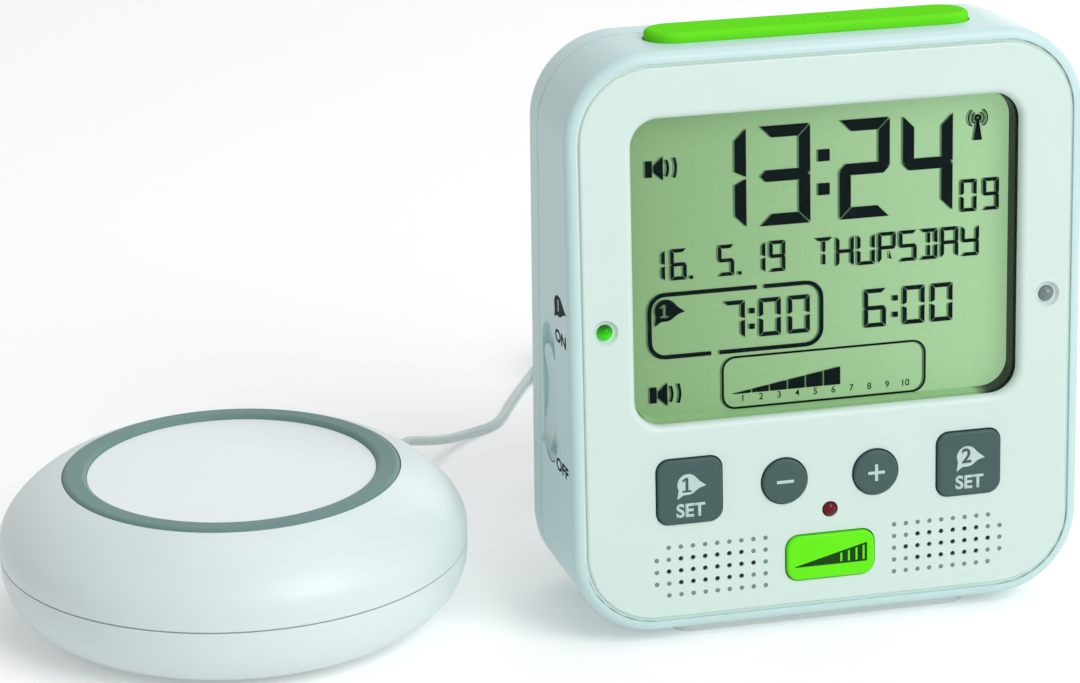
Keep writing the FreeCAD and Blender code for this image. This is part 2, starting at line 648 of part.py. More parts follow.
def make_switches():
    """Tact switches behind the five front keys and under the snooze bar, one group."""
    front = board_face - s.switch_height
    places = [(x, s.key_row_level) for name, x in square_keys + round_keys]
    places.append((as_size(0), s.level_key_level))
    switches = []
    for x, z in places:
        half = s.switch_side / 2
        case = block(x - half, front, z - half, s.switch_side, s.switch_height - s.snug, s.switch_side)
        bore = rod(x, front - s.overrun, z, s.key_nose + s.play, s.switch_bore_depth + s.overrun, "y")
        switches.append(cut(case, [bore]))
    top = snooze_board_top + s.snooze_switch_height
    for side in (-1, 1):
        x, half = side * s.bar_stem_spread, s.switch_side / 2
        case = block(x - half, stem_depth - half, snooze_board_top + s.snug, s.switch_side,
                     s.switch_side, s.snooze_switch_height - s.snug)
        bore = rod(x, stem_depth, top - s.bar_nose_bore, s.key_nose + s.play, s.overrun)
        switches.append(cut(case, [bore]))
    keep(group(switches), "tact_switches", leaning)


def make_key(label, shape):
    """One front key: cap through the panel, lip behind it, stem and nose to its switch.

    shape(sketch, margin) draws the cap's outline, grown by a margin.
    """
    body = start_body(label, leaning)
    cap = add_sketch(body, "XZ_Plane", -s.key_proud)
    x, z = shape(cap, 0)
    lip_face = s.panel_thickness + s.snug
    grow(body, cap, s.key_proud + lip_face + s.key_lip_thickness, back=True)
    blend_edges(body, s.key_round, flat_at("Y", -s.key_proud))
    lip = add_sketch(body, "XZ_Plane", lip_face)
    shape(lip, s.key_lip)
    grow(body, lip, s.key_lip_thickness, back=True)
    stem = add_sketch(body, "XZ_Plane", lip_face)
    circle(stem, x, z, s.key_stem)
    switch_front = board_face - s.switch_height
    grow(body, stem, switch_front - s.key_travel - s.play - lip_face, back=True)
    nose = add_sketch(body, "XZ_Plane", lip_face)
    circle(nose, x, z, s.key_nose)
    grow(body, nose, switch_front + s.key_nose_reach - lip_face, back=True)


def make_keys():
    for label, x in square_keys:
        def square(sketch, margin, x=x):
            rounded(sketch, x, s.key_row_level, s.square_key_width + 2 * margin,
                    s.square_key_height + 2 * margin, s.square_key_corner + margin)
            return x, s.key_row_level
        make_key(label, square)
    for label, x in round_keys:
        def round_key(sketch, margin, x=x):
            circle(sketch, x, s.key_row_level, s.round_key_radius + margin)
            return x, s.key_row_level
        make_key(label, round_key)

    def level_key(sketch, margin):
        rounded(sketch, as_size(0), s.level_key_level, s.level_key_width + 2 * margin,
                s.level_key_height + 2 * margin, s.level_key_corner + margin)
        return as_size(0), s.level_key_level
    make_key("level_button", level_key)


def make_lamp(label, x, z):
    """A round lamp: domed lens, flange behind the panel and two leads to the board."""
    dome_centre = s.lamp_radius - s.lamp_proud
    solids = [ball(x, dome_centre, z, s.lamp_radius),
              rod(x, dome_centre, z, s.lamp_radius, s.lamp_length - dome_centre, "y"),
              rod(x, s.lamp_length - s.lamp_flange_thickness, z, s.lamp_radius + s.lamp_flange,
                  s.lamp_flange_thickness, "y")]
    for side in (-1, 1):
        solids.append(rod(x, s.lamp_length - s.snug, z + side * s.lead_spread, s.lead_radius,
                          board_face - s.lamp_length, "y"))
    keep(joined(solids), label, leaning)


def make_speaker(label, side):
    x = side * (s.grille_inner + (grille_columns - 1) * s.column_pitch / 2)
    z = s.grille_level - 2 * s.grille_pitch
    front = s.panel_thickness + s.snug
    body = plate(label, leaning, front, s.speaker_rim_thickness, x, z, s.speaker_width,
                 s.speaker_height, s.speaker_corner)
    basket = add_sketch(body, "XZ_Plane", front)
    rounded(basket, x, z, s.speaker_width - 2 * s.speaker_rim, s.speaker_height - 2 * s.speaker_rim,
            s.speaker_corner - s.speaker_rim)
    grow(body, basket, s.speaker_depth, back=True)
    magnet = add_sketch(body, "XZ_Plane", front)
    circle(magnet, x, z, s.magnet_radius)
    grow(body, magnet, s.speaker_depth + s.magnet_depth, back=True)


def make_snooze_bar():
    body = start_body("snooze_bar", leaning)
    lip_top = ceiling - s.snug
    lip_bottom = lip_top - s.bar_lip_thickness
    bar = add_sketch(body, "XY_Plane", lip_bottom)
    bar_outline(bar, 0)
    grow(body, bar, s.case_height + s.bar_proud - lip_bottom)
    blend_edges(body, s.bar_round, flat_at("Z", s.case_height + s.bar_proud))
    lip = add_sketch(body, "XY_Plane", lip_bottom)
    bar_outline(lip, s.bar_lip)
    grow(body, lip, s.bar_lip_thickness)
    switch_top = snooze_board_top + s.snooze_switch_height
    stems = add_sketch(body, "XY_Plane", lip_top)
    noses = add_sketch(body, "XY_Plane", lip_top)
    for side in (-1, 1):
        circle(stems, side * s.bar_stem_spread, stem_depth, s.bar_stem)
        circle(noses, side * s.bar_stem_spread, stem_depth, s.key_nose)
    grow(body, stems, lip_top - switch_top - s.bar_travel - s.play, back=True)
    grow(body, noses, lip_top - switch_top + s.key_nose_reach, back=True)


def make_slider(label, side):
    """An alarm slider: a hollowed plate in its recess, a thumb ridge and a neck through the wall."""
    body = start_body(label, leaning)
    bed = s.case_width / 2 - s.slot_depth + 2 * s.snug
    face = bed + s.slider_thickness
    base = add_sketch(body, "YZ_Plane", side * bed)
    width = s.slot_width - 2 * s.play
    rounded(base, s.slot_centre, neck_level, width, slider_length, width / 2 - s.snug)
    grow(body, base, s.slider_thickness, back=side < 0)
    thumb_low = slider_low + 2 * s.slider_thickness
    thumb_top = thumb_low + s.thumb_length
    hollow_top = slider_low + slider_length - 2 * s.slider_thickness
    span = hollow_top - thumb_top
    bend = (span * span / 4 + s.slider_hollow * s.slider_hollow) / (2 * s.slider_hollow)
    hollow = add_sketch(body, "XZ_Plane", s.slot_centre)
    outer = side * (face + s.overrun)
    outline(hollow, [(side * face, hollow_top, -side * bend), (outer, hollow_top),
                     (outer, thumb_top), (side * face, thumb_top)])
    carve(body, hollow, 2 * s.slot_width, middle=True)
    thumb = add_sketch(body, "XZ_Plane", s.slot_centre)
    ridge = face + s.thumb_height
    outline(thumb, [(side * bed, thumb_low), (side * face, thumb_low),
                    (side * ridge, thumb_low + s.thumb_height), (side * face, thumb_top),
                    (side * bed, thumb_top)])
    grow(body, thumb, width - 2 * s.thumb_height, middle=True)
    neck = add_sketch(body, "YZ_Plane", side * bed)
    rounded(neck, s.slot_centre, neck_level, s.neck_width, s.neck_length, s.neck_width / 2 - s.snug)
    grow(body, neck, s.neck_reach, back=side > 0)


def make_slide_switches():
    solids = []
    for side in (-1, 1):
        tip = s.case_width / 2 - s.slot_depth + 2 * s.snug - s.neck_reach
        outer = tip + s.switch_height / 5
        low_x = outer - s.slide_switch_depth if side > 0 else -outer
        z = neck_level + s.slider_travel / 2
        case = block(low_x, board_back, z - s.slide_switch_length / 2, s.slide_switch_depth,
                     s.slot_centre - board_back + s.slide_switch_width / 2, s.slide_switch_length)
        groove_x = tip - s.play if side > 0 else -outer - s.overrun
        groove_width = s.neck_width + 2 * s.play
        groove_length = s.neck_length + s.slider_travel + 2 * s.play
        groove = block(groove_x, s.slot_centre - groove_width / 2, z - groove_length / 2,
                       outer - tip + s.play + s.overrun, groove_width, groove_length)
        solids.append(cut(case, [groove]))
    keep(group(solids), "slide_switches", leaning)


def make_aerial():
    depth = board_back + s.aerial_clip_wall + s.rod_radius
    core = rod(-s.rod_length / 2, depth, s.rod_level, s.rod_radius, s.rod_length, "x")
    keep(group([core]), "aerial_rod", leaning)
    winding = rod(-s.aerial_coil_length / 2, depth, s.rod_level, s.rod_radius + s.aerial_coil_build,
                  s.aerial_coil_length, "x")
    inside = rod(-s.rod_length / 2, depth, s.rod_level, s.rod_radius + s.snug, s.rod_length, "x")
    keep(cut(winding, [inside]), "aerial_winding", leaning)
    clips = []
    for side in (-1, 1):
        low = side * s.rod_length / 3 - s.aerial_clip_width / 2
        half = s.rod_radius + s.aerial_clip_wall
        body = block(low, board_back, s.rod_level - half, s.aerial_clip_width,
                     s.aerial_clip_wall + s.rod_radius + s.rod_radius / 2, 2 * half)
        bore = rod(low - s.overrun, depth, s.rod_level, s.rod_radius + s.snug,
                   s.aerial_clip_width + 2 * s.overrun, "x")
        clips.append(cut(body, [bore]))
    keep(group(clips), "aerial_clips", leaning)


def make_foot():
    body = start_body("clock_foot", upright)
    side = add_sketch(body, "YZ_Plane")
    outline(side, [(s.foot_front, -s.stand_gap), (s.foot_back, -s.stand_gap),
                   (s.foot_back, -s.foot_back * lean_slope - s.snug),
                   (s.foot_front, -s.foot_front * lean_slope - s.snug)])
    grow(body, side, s.foot_width, middle=True)
    half = float(s.foot_width) / 2
    blend_edges(body, s.foot_corner, lambda edge: abs(abs(edge.CenterOfMass.x) - half) < 1e-4
                and edge.BoundBox.YLength < 1e-4)


bay_height = s.cell_count * s.cell_pitch + s.bay_clearance
bay_middle = s.bay_level + bay_height / 2
wall_inner = s.case_depth - s.case_wall
cell_depth = wall_inner - s.play - s.cell_radius - s.play
bay_back = cell_depth - s.cell_radius - s.play
door_width = s.bay_width - 2 * s.play
door_height = bay_height - 2 * s.play
hinge_depth = s.case_depth - s.case_wall / 2
hinge_level = s.bay_level + s.play + s.case_wall / 2


def make_back_cover():
    body = start_body("back_cover_shell", here)
    shell = add_sketch(body, "XZ_Plane", 0, tilted=True)
    rounded(shell, as_size(0), middle_level, s.case_width, s.case_height, s.case_corner)
    grow(body, shell, s.case_depth + s.overrun, back=True)
    trim = add_sketch(body, "YZ_Plane")
    low, high = -2 * s.overrun, s.case_height + s.overrun
    front = s.seam_depth + s.seam_gap
    outline(trim, [(-s.overrun, low), (front, low), (front, high), (-s.overrun, high)])
    outline(trim, [(s.case_depth, low), (s.case_depth + 4 * s.overrun, low),
                   (s.case_depth + 4 * s.overrun, high), (s.case_depth, high)])
    carve(body, trim, s.case_width + s.overrun, middle=True)
    blend_edges(body, s.rear_round, flat_at("Y", s.case_depth))
    doc.recompute()
    tip = body.Tip
    mouth = ["Face%d" % number for number, face in enumerate(tip.Shape.Faces, 1)
             if flat_at("Y", front)(face)]
    hollow = body.newObject("PartDesign::Thickness", "Hollow")
    hollow.Base = (tip, mouth)
    bind(hollow, "Value", s.case_wall)
    hollow.Reversed = True
    hollow.Mode = "Skin"
    hollow.Join = "Intersection"
    doc.recompute()
    opening = add_sketch(body, "XZ_Plane", wall_inner - s.snug)
    rounded(opening, as_size(0), bay_middle, s.bay_width, bay_height, s.bay_corner)
    for side in (-1, 1):
        circle(opening, side * s.socket_spread, s.socket_level, s.socket_nose + s.snug)
    carve(body, opening, s.case_wall + s.overrun)
    for low_row in (True, False):
        rows = [place for place in screw_places() if (float(place[1]) < float(middle_level)) == low_row]
        level = rows[0][1]
        end = (s.case_depth - s.case_wall / 2) / cosine(s.lean_angle) - level * lean_slope
        posts = add_sketch(body, "XZ_Plane", boss_top + s.play, tilted=True)
        for x, z in rows:
            circle(posts, x, z, s.boss_radius + s.snug)
        grow(body, posts, end - boss_top - s.play, back=True)
    wells = add_sketch(body, "XZ_Plane", screw_seat, tilted=True)
    shanks = add_sketch(body, "XZ_Plane", boss_top, tilted=True)
    for x, z in screw_places():
        circle(wells, x, z, s.screw_head + s.play)
        circle(shanks, x, z, s.screw_radius + s.play)
    carve(body, wells, s.case_depth)
    carve(body, shanks, s.screw_sink + s.overrun)
    pieces.pop()
    reach = s.bay_width / 2 + s.door_pin_length
    hinge_bore = rod(-reach, hinge_depth, hinge_level, s.door_pin + s.snug, 2 * reach, "x")
    keep(cut(body, [hinge_bore]), "back_cover", upright)


def make_door():
    body = start_body("battery_door_leaf", here)
    leaf = add_sketch(body, "XZ_Plane", wall_inner)
    rounded(leaf, as_size(0), bay_middle, door_width, door_height, s.bay_corner - s.play)
    grow(body, leaf, s.case_wall, back=True)
    grip = add_sketch(body, "XZ_Plane", s.case_depth - s.door_grip_depth)
    circle(grip, as_size(0), bay_middle + door_height / 2, s.door_grip_radius)
    carve(body, grip, s.door_grip_depth + s.overrun)
    low = bay_middle - door_height / 2
    trim = add_sketch(body, "YZ_Plane")
    outline(trim, [(wall_inner - s.snug, low - s.snug), (s.case_depth + s.snug, low - s.snug),
                   (s.case_depth + s.snug, hinge_level), (wall_inner - s.snug, hinge_level)])
    carve(body, trim, s.case_width, middle=True)
    pieces.pop()
    barrel = rod(-door_width / 2, hinge_depth, hinge_level, s.case_wall / 2, door_width, "x")
    reach = s.bay_width / 2 + s.door_pin_length - s.snug
    pin = rod(-reach, hinge_depth, hinge_level, s.door_pin, 2 * reach, "x")
    keep(joined([body, barrel, pin]), "battery_door", upright)


def make_battery_bay():
    body = start_body("battery_tray", upright)
    back = bay_back - s.bay_wall
    tray = add_sketch(body, "XZ_Plane", back)
    rounded(tray, as_size(0), bay_middle, s.bay_width + 2 * s.bay_wall, bay_height + 2 * s.bay_wall,
            s.bay_corner + s.bay_wall)
    grow(body, tray, wall_inner - s.snug - back, back=True)
    bay = add_sketch(body, "XZ_Plane", bay_back)
    rounded(bay, as_size(0), bay_middle, s.bay_width, bay_height, s.bay_corner)
    carve(body, bay, s.case_depth)
    cells, contacts = [], []
    for index in range(int(s.cell_count.number)):
        z = s.bay_level + s.bay_clearance / 2 + (index + 0.5) * s.cell_pitch
        way = 1 if index % 2 else -1
        barrel_length = s.cell_length - s.cell_nub_length
        low = -s.cell_length / 2 if way > 0 else -s.cell_length / 2 + s.cell_nub_length
        nub_low = low + barrel_length - s.snug if way > 0 else -s.cell_length / 2
        cells.append(joined([rod(low, cell_depth, z, s.cell_radius, barrel_length, "x"),
                             rod(nub_low, cell_depth, z, s.cell_nub, s.cell_nub_length + s.snug, "x")]))
        half_plate = s.cell_radius - s.play
        for side in (-1, 1):
            wall_x = side * (s.bay_width / 2 - s.snug)
            plate_low = wall_x - s.contact_thickness if side > 0 else wall_x
            strip = block(plate_low, cell_depth - half_plate, z - half_plate, s.contact_thickness,
                          2 * half_plate, 2 * half_plate)
            gap_low = s.cell_length / 2 + s.snug if side > 0 else -s.bay_width / 2 + s.contact_thickness
            reach = s.bay_width / 2 - s.contact_thickness - s.cell_length / 2 - s.snug
            radius = s.cell_nub if side == way else s.spring_radius
            contacts.append(joined([strip, rod(gap_low, cell_depth, z, radius, reach, "x")]))
    keep(group(cells), "battery_cells", upright)
    keep(group(contacts), "battery_contacts", upright)


def make_socket(label, side, bore, depth, pin=None):
    x, z, half = side * s.socket_spread, s.socket_level, s.socket_side / 2
    back = wall_inner - s.snug
    case = block(x - half, back - s.socket_depth, z - half, s.socket_side, s.socket_depth, s.socket_side)
    nose = rod(x, back - s.snug, z, s.socket_nose, s.case_wall, "y")
    hole = rod(x, s.case_depth - depth, z, bore, depth + s.overrun, "y")
    socket = cut(joined([case, nose]), [hole])
    if pin:
        socket = joined([socket, rod(x, s.case_depth - depth - s.snug, z, pin, depth - 2 * pin, "y")])
    keep(socket, label, upright)


def make_case_screws():
    screws = []
    for x, z in screw_places():
        screws.append(joined([rod(x, screw_seat, z, s.screw_head, s.screw_head_height, "y"),
                              rod(x, screw_seat - s.screw_length, z, s.screw_radius,
                                  s.screw_length + s.snug, "y")]))
    keep(group(screws), "case_screws", leaning)


# The vibration pad is turned about its own upright axis.
shoulder_x = s.pad_radius - s.pad_upper_bend + s.pad_upper_bend * cosine(s.pad_shoulder_angle)
shoulder_z = s.pad_belly + s.pad_upper_bend * sine(s.pad_shoulder_angle)
crown_x = shoulder_x - s.pad_shoulder_bend * cosine(s.pad_shoulder_angle)
crown_z = shoulder_z - s.pad_shoulder_bend * sine(s.pad_shoulder_angle)
ring_hole = s.ring_outer + s.snug
plate_low = s.ring_seat - s.pad_wall


def on_crown(radius_bend, level):
    """The distance from the axis at one level of the shoulder's arc."""
    rise = level - crown_z
    return crown_x + root(radius_bend * radius_bend - rise * rise)


def crown_level(radius_bend, x):
    away = x - crown_x
    return crown_z + root(radius_bend * radius_bend - away * away)


def pad_screw_places():
    reach = s.pad_boss_ring * cosine(as_size(45))
    return [(a * reach, b * reach) for a in (-1, 1) for b in (-1, 1)]


def make_pad_shells():
    body = start_body("pad_top_shell", pad_place)
    half = add_sketch(body, "XZ_Plane")
    seam = s.pad_seam + s.seam_gap / 2
    inner_crown = s.pad_shoulder_bend - s.pad_wall
    inner_x = crown_x + inner_crown * cosine(s.pad_shoulder_angle)
    inner_z = crown_z + inner_crown * sine(s.pad_shoulder_angle)
    outline(half, [(s.pad_radius, seam), (s.pad_radius, s.pad_belly),
                   (shoulder_x, shoulder_z, s.pad_upper_bend),
                   (ring_hole, crown_level(s.pad_shoulder_bend, ring_hole), s.pad_shoulder_bend),
                   (ring_hole, s.ring_seat), (as_size(0), s.ring_seat), (as_size(0), plate_low),
                   (on_crown(inner_crown, plate_low), plate_low),
                   (inner_x, inner_z), (s.pad_radius - s.pad_wall, s.pad_belly),
                   (s.pad_radius - s.pad_wall, seam)])
    spin(body, half)
    bosses = add_sketch(body, "XY_Plane", plate_low + s.snug)
    pilots = add_sketch(body, "XY_Plane", s.pad_post_top)
    for x, y in pad_screw_places():
        circle(bosses, x, y, s.pad_boss_radius)
        circle(pilots, x, y, s.screw_radius + s.snug)
    grow(body, bosses, plate_low - s.pad_post_top - s.play + s.snug, back=True)
    carve(body, pilots, s.pad_screw_length, back=False)
    body = start_body("pad_base_body", here)
    half = add_sketch(body, "XZ_Plane")
    seam = s.pad_seam - s.seam_gap / 2
    floor = s.pad_base + s.pad_wall
    bend_x, bend_z = s.pad_radius - s.pad_lower_bend, s.pad_base + s.pad_lower_bend
    inner_bend = s.pad_lower_bend - s.pad_wall
    outline(half, [(as_size(0), s.pad_base), (s.pad_foot_inner - s.snug, s.pad_base),
                   (s.pad_foot_inner - s.snug, s.pad_base + s.pad_foot_sink),
                   (s.pad_foot_outer + s.snug, s.pad_base + s.pad_foot_sink),
                   (s.pad_foot_outer + s.snug, s.pad_base), (bend_x, s.pad_base),
                   (s.pad_radius, bend_z, s.pad_lower_bend), (s.pad_radius, seam),
                   (s.pad_radius - s.pad_wall, seam), (s.pad_radius - s.pad_wall, bend_z),
                   (bend_x + inner_bend * sine(as_size(45)), bend_z - inner_bend * cosine(as_size(45))),
                   (bend_x, floor), (as_size(0), floor)])
    spin(body, half)
    posts = add_sketch(body, "XY_Plane", floor - s.snug)
    wells = add_sketch(body, "XY_Plane", s.pad_base)
    shanks = add_sketch(body, "XY_Plane", s.pad_base)
    for x, y in pad_screw_places():
        circle(posts, x, y, s.pad_post_radius)
        circle(wells, x, y, s.screw_head + s.play)
        circle(shanks, x, y, s.screw_radius + s.play)
    grow(body, posts, s.pad_post_top - floor + s.snug)
    carve(body, wells, s.pad_head_sink, back=False)
    carve(body, shanks, s.pad_post_top, back=False)
    pieces.pop()
    # the cord's strain relief passes the wall
    hole = rod(0, 0, s.cord_exit_level, s.relief_base + s.snug, s.pad_radius + s.overrun, "x")
    hole.Placement = FreeCAD.Placement(hole.Placement.Base, exit_turn)
    keep(cut(body, [hole]), "pad_base_shell", pad_place)


def make_pad_trim():
    body = start_body("pad_ring", pad_place)
    half = add_sketch(body, "XZ_Plane")
    top = s.ring_seat + s.ring_thickness
    outline(half, [(s.ring_inner, s.ring_seat + s.snug), (s.ring_outer, s.ring_seat + s.snug),
                   (s.ring_outer, top), (s.ring_inner, top)])
    spin(body, half)
    blend_edges(body, s.ring_round, flat_at("Z", top))
    body = start_body("pad_disc", pad_place)
    half = add_sketch(body, "XZ_Plane")
    rim = s.ring_inner - s.snug
    rim_top = s.ring_seat + s.disc_thickness
    bend = (rim * rim + s.disc_crown * s.disc_crown) / (2 * s.disc_crown)
    outline(half, [(as_size(0), s.ring_seat + s.snug), (rim, s.ring_seat + s.snug), (rim, rim_top),
                   (as_size(0), rim_top + s.disc_crown, bend)])
    spin(body, half)
    body = start_body("pad_foot_ring", pad_place)
    ring = add_sketch(body, "XY_Plane")
    circle(ring, as_size(0), as_size(0), s.pad_foot_outer)
    circle(ring, as_size(0), as_size(0), s.pad_foot_inner)
    grow(body, ring, s.pad_base + s.pad_foot_sink - s.snug)
    screws = []
    for x, y in pad_screw_places():
        seat = s.pad_base + s.pad_head_sink
        screws.append(joined([rod(x, y, seat - s.screw_head_height, s.screw_head, s.screw_head_height),
                              rod(x, y, seat - s.snug, s.screw_radius, s.pad_screw_length)]))
    keep(group(screws), "pad_screws", pad_place)


def make_motor():
    z, floor = s.motor_level, s.pad_base + s.pad_wall + s.snug
    low = s.motor_end - s.motor_length
    can = joined([rod(low, 0, z, s.motor_radius, s.motor_length, "x"),
                  rod(s.motor_end - s.snug, 0, z, s.motor_boss_radius, s.motor_boss_length, "x")])
    tip = s.motor_end + s.motor_boss_length - s.snug
    bearing = rod(tip - s.shaft_bearing, 0, z, s.shaft_radius + s.snug, s.shaft_bearing + s.overrun, "x")
    keep(cut(can, [bearing]), "motor_can", pad_place)
    start = tip - s.shaft_bearing + s.play
    shaft = rod(start, 0, z, s.shaft_radius, s.shaft_length, "x")
    keep(group([shaft]), "motor_shaft", pad_place)
    at = tip + s.weight_gap
    disc = rod(at, 0, z, s.weight_radius, s.weight_length, "x")
    upper = block(at - s.overrun, -2 * s.weight_radius, z, s.weight_length + 2 * s.overrun,
                  4 * s.weight_radius, 2 * s.weight_radius)
    hub = rod(at, 0, z, s.weight_hub, s.weight_length, "x")
    bore = rod(at - s.overrun, 0, z, s.shaft_radius, s.weight_length + 2 * s.overrun, "x")
    keep(cut(joined([cut(disc, [upper]), hub]), [bore]), "eccentric_weight", pad_place)
    top = plate_low - s.snug
    for label, bottom, height in (("motor_cradle", floor, z - floor - s.snug),
                                  ("motor_clamp", z + s.snug, top - z - s.snug)):
        saddle = block(low + s.cradle_margin, -s.cradle_width / 2, bottom,
                       s.motor_length - 2 * s.cradle_margin, s.cradle_width, height)
        bed = rod(low - s.overrun, 0, z, s.motor_radius + s.snug, s.motor_length + 2 * s.overrun, "x")
        keep(cut(saddle, [bed]), label, pad_place)


# The cord: strain relief, a run over the table, a put-away coil, a lead and the plug.
exit_turn = FreeCAD.Rotation(V(0, 0, 1), float(s.cord_exit_angle)).multiply(FreeCAD.Rotation(V(0, 1, 0), 90))
exit_way = V(math.cos(math.radians(float(s.cord_exit_angle))), math.sin(math.radians(float(s.cord_exit_angle))), 0)
coil_step = 2 * float(s.cord_radius) + float(s.coil_gap)


def make_relief():
    body = start_body("cord_relief", here)
    half = add_sketch(body, "XZ_Plane")
    collar = -s.pad_wall - s.relief_collar_gap
    low = collar - s.relief_collar_length
    outline(half, [(s.cord_radius + s.snug, low), (s.relief_collar, low), (s.relief_collar, collar),
                   (s.relief_base, collar), (s.relief_base, as_size(0)),
                   (s.relief_tip, s.relief_length), (s.cord_radius + s.snug, s.relief_length)])
    spin(body, half)
    reach = relief_reach()
    body.Placement = FreeCAD.Placement(V(float(s.pad_x), float(s.pad_y), float(s.cord_exit_level)).add(
        V(exit_way).multiply(reach)), exit_turn)


def relief_reach():
    """Distance of the pad's wall from its axis at the cord's level."""
    bend, rise = float(s.pad_lower_bend), float(s.pad_base + s.pad_lower_bend - s.cord_exit_level)
    return float(s.pad_radius) - bend + math.sqrt(bend * bend - rise * rise)


def smooth_path(points):
    """Straight runs joined by tangent arcs, each arc as large as its two runs allow."""
    edges, at, radii = [], points[0], []
    for before, corner, after in zip(points, points[1:], points[2:]):
        a, b = before.sub(corner), after.sub(corner)
        turn = math.pi - a.getAngle(b)
        reach = 0.45 * min(a.Length, b.Length)
        radius = reach / math.tan(turn / 2)
        radii.append(radius)
        a.normalize()
        b.normalize()
        start = corner.add(V(a).multiply(reach))
        end = corner.add(V(b).multiply(reach))
        bisector = V(a).add(b).normalize()
        middle = corner.add(bisector.multiply(radius / math.cos(turn / 2) - radius))
        edges.append(Part.LineSegment(at, start).toShape())
        edges.append(Part.Arc(start, middle, end).toShape())
        at = end
    edges.append(Part.LineSegment(at, points[-1]).toShape())
    return Part.Wire(edges), radii


def sweep(label, wire, facets=0):
    """A tube of the cord's radius along the wire, round or with flat sides."""
    first = wire.Edges[0]
    start, way = first.valueAt(first.FirstParameter), first.tangentAt(first.FirstParameter)
    radius = float(s.cord_radius)
    section, profile = math.pi * radius * radius, Part.Wire([Part.makeCircle(radius, start, way)])
    if facets:
        across = way.cross(V(0, 0, 1)).normalize()
        corners = [start.add(FreeCAD.Rotation(way, 360 * step / facets).multVec(across).multiply(radius))
                   for step in range(facets + 1)]
        profile = Part.makePolygon(corners)
        section = facets / 2 * radius * radius * math.sin(2 * math.pi / facets)
    tube = wire.makePipeShell([profile], True, False)
    feature = doc.addObject("Part::Feature", label)
    feature.Shape = tube
    keep(feature, label, here)
    print("%s: length %.1f mm, volume %.4f of section times length"
          % (label, wire.Length, tube.Volume / (section * wire.Length)))
    return tube


def coil_point(turns):
    """A point and heading of the coil after so many turns, clockwise from its start."""
    layer_turns = float(s.coil_layer_turns)
    span = layer_turns + 0.5
    layer = min(int(turns / span), int(float(s.coil_layers)) - 1)
    inside = turns - layer * span
    middle, build = float(s.coil_middle), coil_step * layer_turns
    run = min(inside, layer_turns)
    inward = 1 if layer % 2 == 0 else -1
    radius = middle + inward * (build / 2 - run * coil_step)
    climb = max(inside - layer_turns, 0) * 2
    rise = coil_step * (layer + climb * climb * (3 - 2 * climb))
    angle = math.radians(float(s.coil_start_angle)) - 2 * math.pi * turns
    level = float(s.coil_lift) + float(s.cord_radius) + rise
    centre = V(float(s.coil_x), float(s.coil_y), level)
    return centre.add(V(radius * math.cos(angle), radius * math.sin(angle), 0))


def coil_heading(turns, total):
    step = 1e-4
    low, high = max(turns - step, 0), min(turns + step, total)
    return coil_point(high).sub(coil_point(low)).normalize()


def biarc(start, start_way, end, end_way):
    """Two tangent arcs from start to end with the given headings."""
    across = end.sub(start)
    both = start_way.add(end_way)
    bend = 2 * (1 - start_way.dot(end_way))
    slope = across.dot(both)
    reach = (-slope + math.sqrt(slope * slope + bend * across.dot(across))) / bend
    first = start.add(V(start_way).multiply(reach))
    second = end.sub(V(end_way).multiply(reach))
    middle = first.add(second).multiply(0.5)
    return [Part.Arc(start, bow(start, middle, start_way), middle).toShape(),
            Part.Arc(middle, bow(end, middle, V(end_way).negative()), end).toShape()]


def bow(start, end, way):
    """The middle of the arc that leaves start along way and ends at end."""
    chord = end.sub(start)
    half = way.getAngle(chord)
    along = V(chord).normalize()
    side = way.sub(V(along).multiply(way.dot(along))).normalize()
    return start.add(end).multiply(0.5).add(side.multiply(chord.Length / 2 * math.tan(half / 2)))


def make_coil():
    layers, layer_turns = float(s.coil_layers), float(s.coil_layer_turns)
    total = layers * layer_turns + (layers - 1) / 2
    steps = int(round(total * 4))
    edges = []
    for index in range(steps):
        low, high = index / 4, (index + 1) / 4
        edges += biarc(coil_point(low), coil_heading(low, total), coil_point(high), coil_heading(high, total))
    wire = Part.Wire(edges)
    sweep("cord_coil", wire, facets=6)
    samples = [coil_point(index / 48) for index in range(int(total * 48) + 1)]
    least = min(a.sub(b).Length for i, a in enumerate(samples) for b in samples[i + 24::1])
    print("coil: %.1f turns, least gap to itself %.2f mm" % (total, least - 2 * float(s.cord_radius)))
    return coil_point(0), coil_point(total)


def make_cord():
    start, end = make_coil()
    pad_axis = V(float(s.pad_x), float(s.pad_y), float(s.cord_exit_level))
    inner_end = pad_axis.add(V(exit_way).multiply(relief_reach() - 4 * float(s.relief_base)))
    free_end = pad_axis.add(V(exit_way).multiply(relief_reach() + 1.5 * float(s.relief_length)))
    low = float(s.cord_radius)
    table_run = [free_end, V(-62.6, 83.6, 7.2), V(-56.2, 91.8, 3.2), V(-49.6, 98.6, 1.5),
                 V(-42.4, 105.4, low), V(-35.8, 113.4, low), V(-29.8, 122.4, low), V(-23.6, 132.0, 1.7)]
    run = [inner_end] + table_run + [start]
    wire, radii = smooth_path(run)
    sweep("cord_run", wire)
    print("cord_run radii", [round(radius, 1) for radius in radii])
    plug_end = V(-float(s.socket_spread), 0, float(s.socket_level)).add(pivot)
    plug_end.y = pivot.y + float(s.case_depth + s.play + s.plug_length + s.plug_relief_length)
    lead_run = [V(11.2, 115.8, 10.6), V(5.2, 105.6, 7.0), V(-3.0, 96.8, 3.0), V(-12.6, 89.4, low),
                V(-22.4, 83.2, 1.8), V(-30.6, 77.4, 5.2), V(-35.7, 70.6, 11.4), V(-38.4, 63.0, 18.6),
                V(-39.375, 53.6, 24.0)]
    lead = [end] + lead_run + [plug_end]
    wire, radii = smooth_path(lead)
    sweep("cord_lead", wire)
    print("cord_lead radii", [round(radius, 1) for radius in radii])


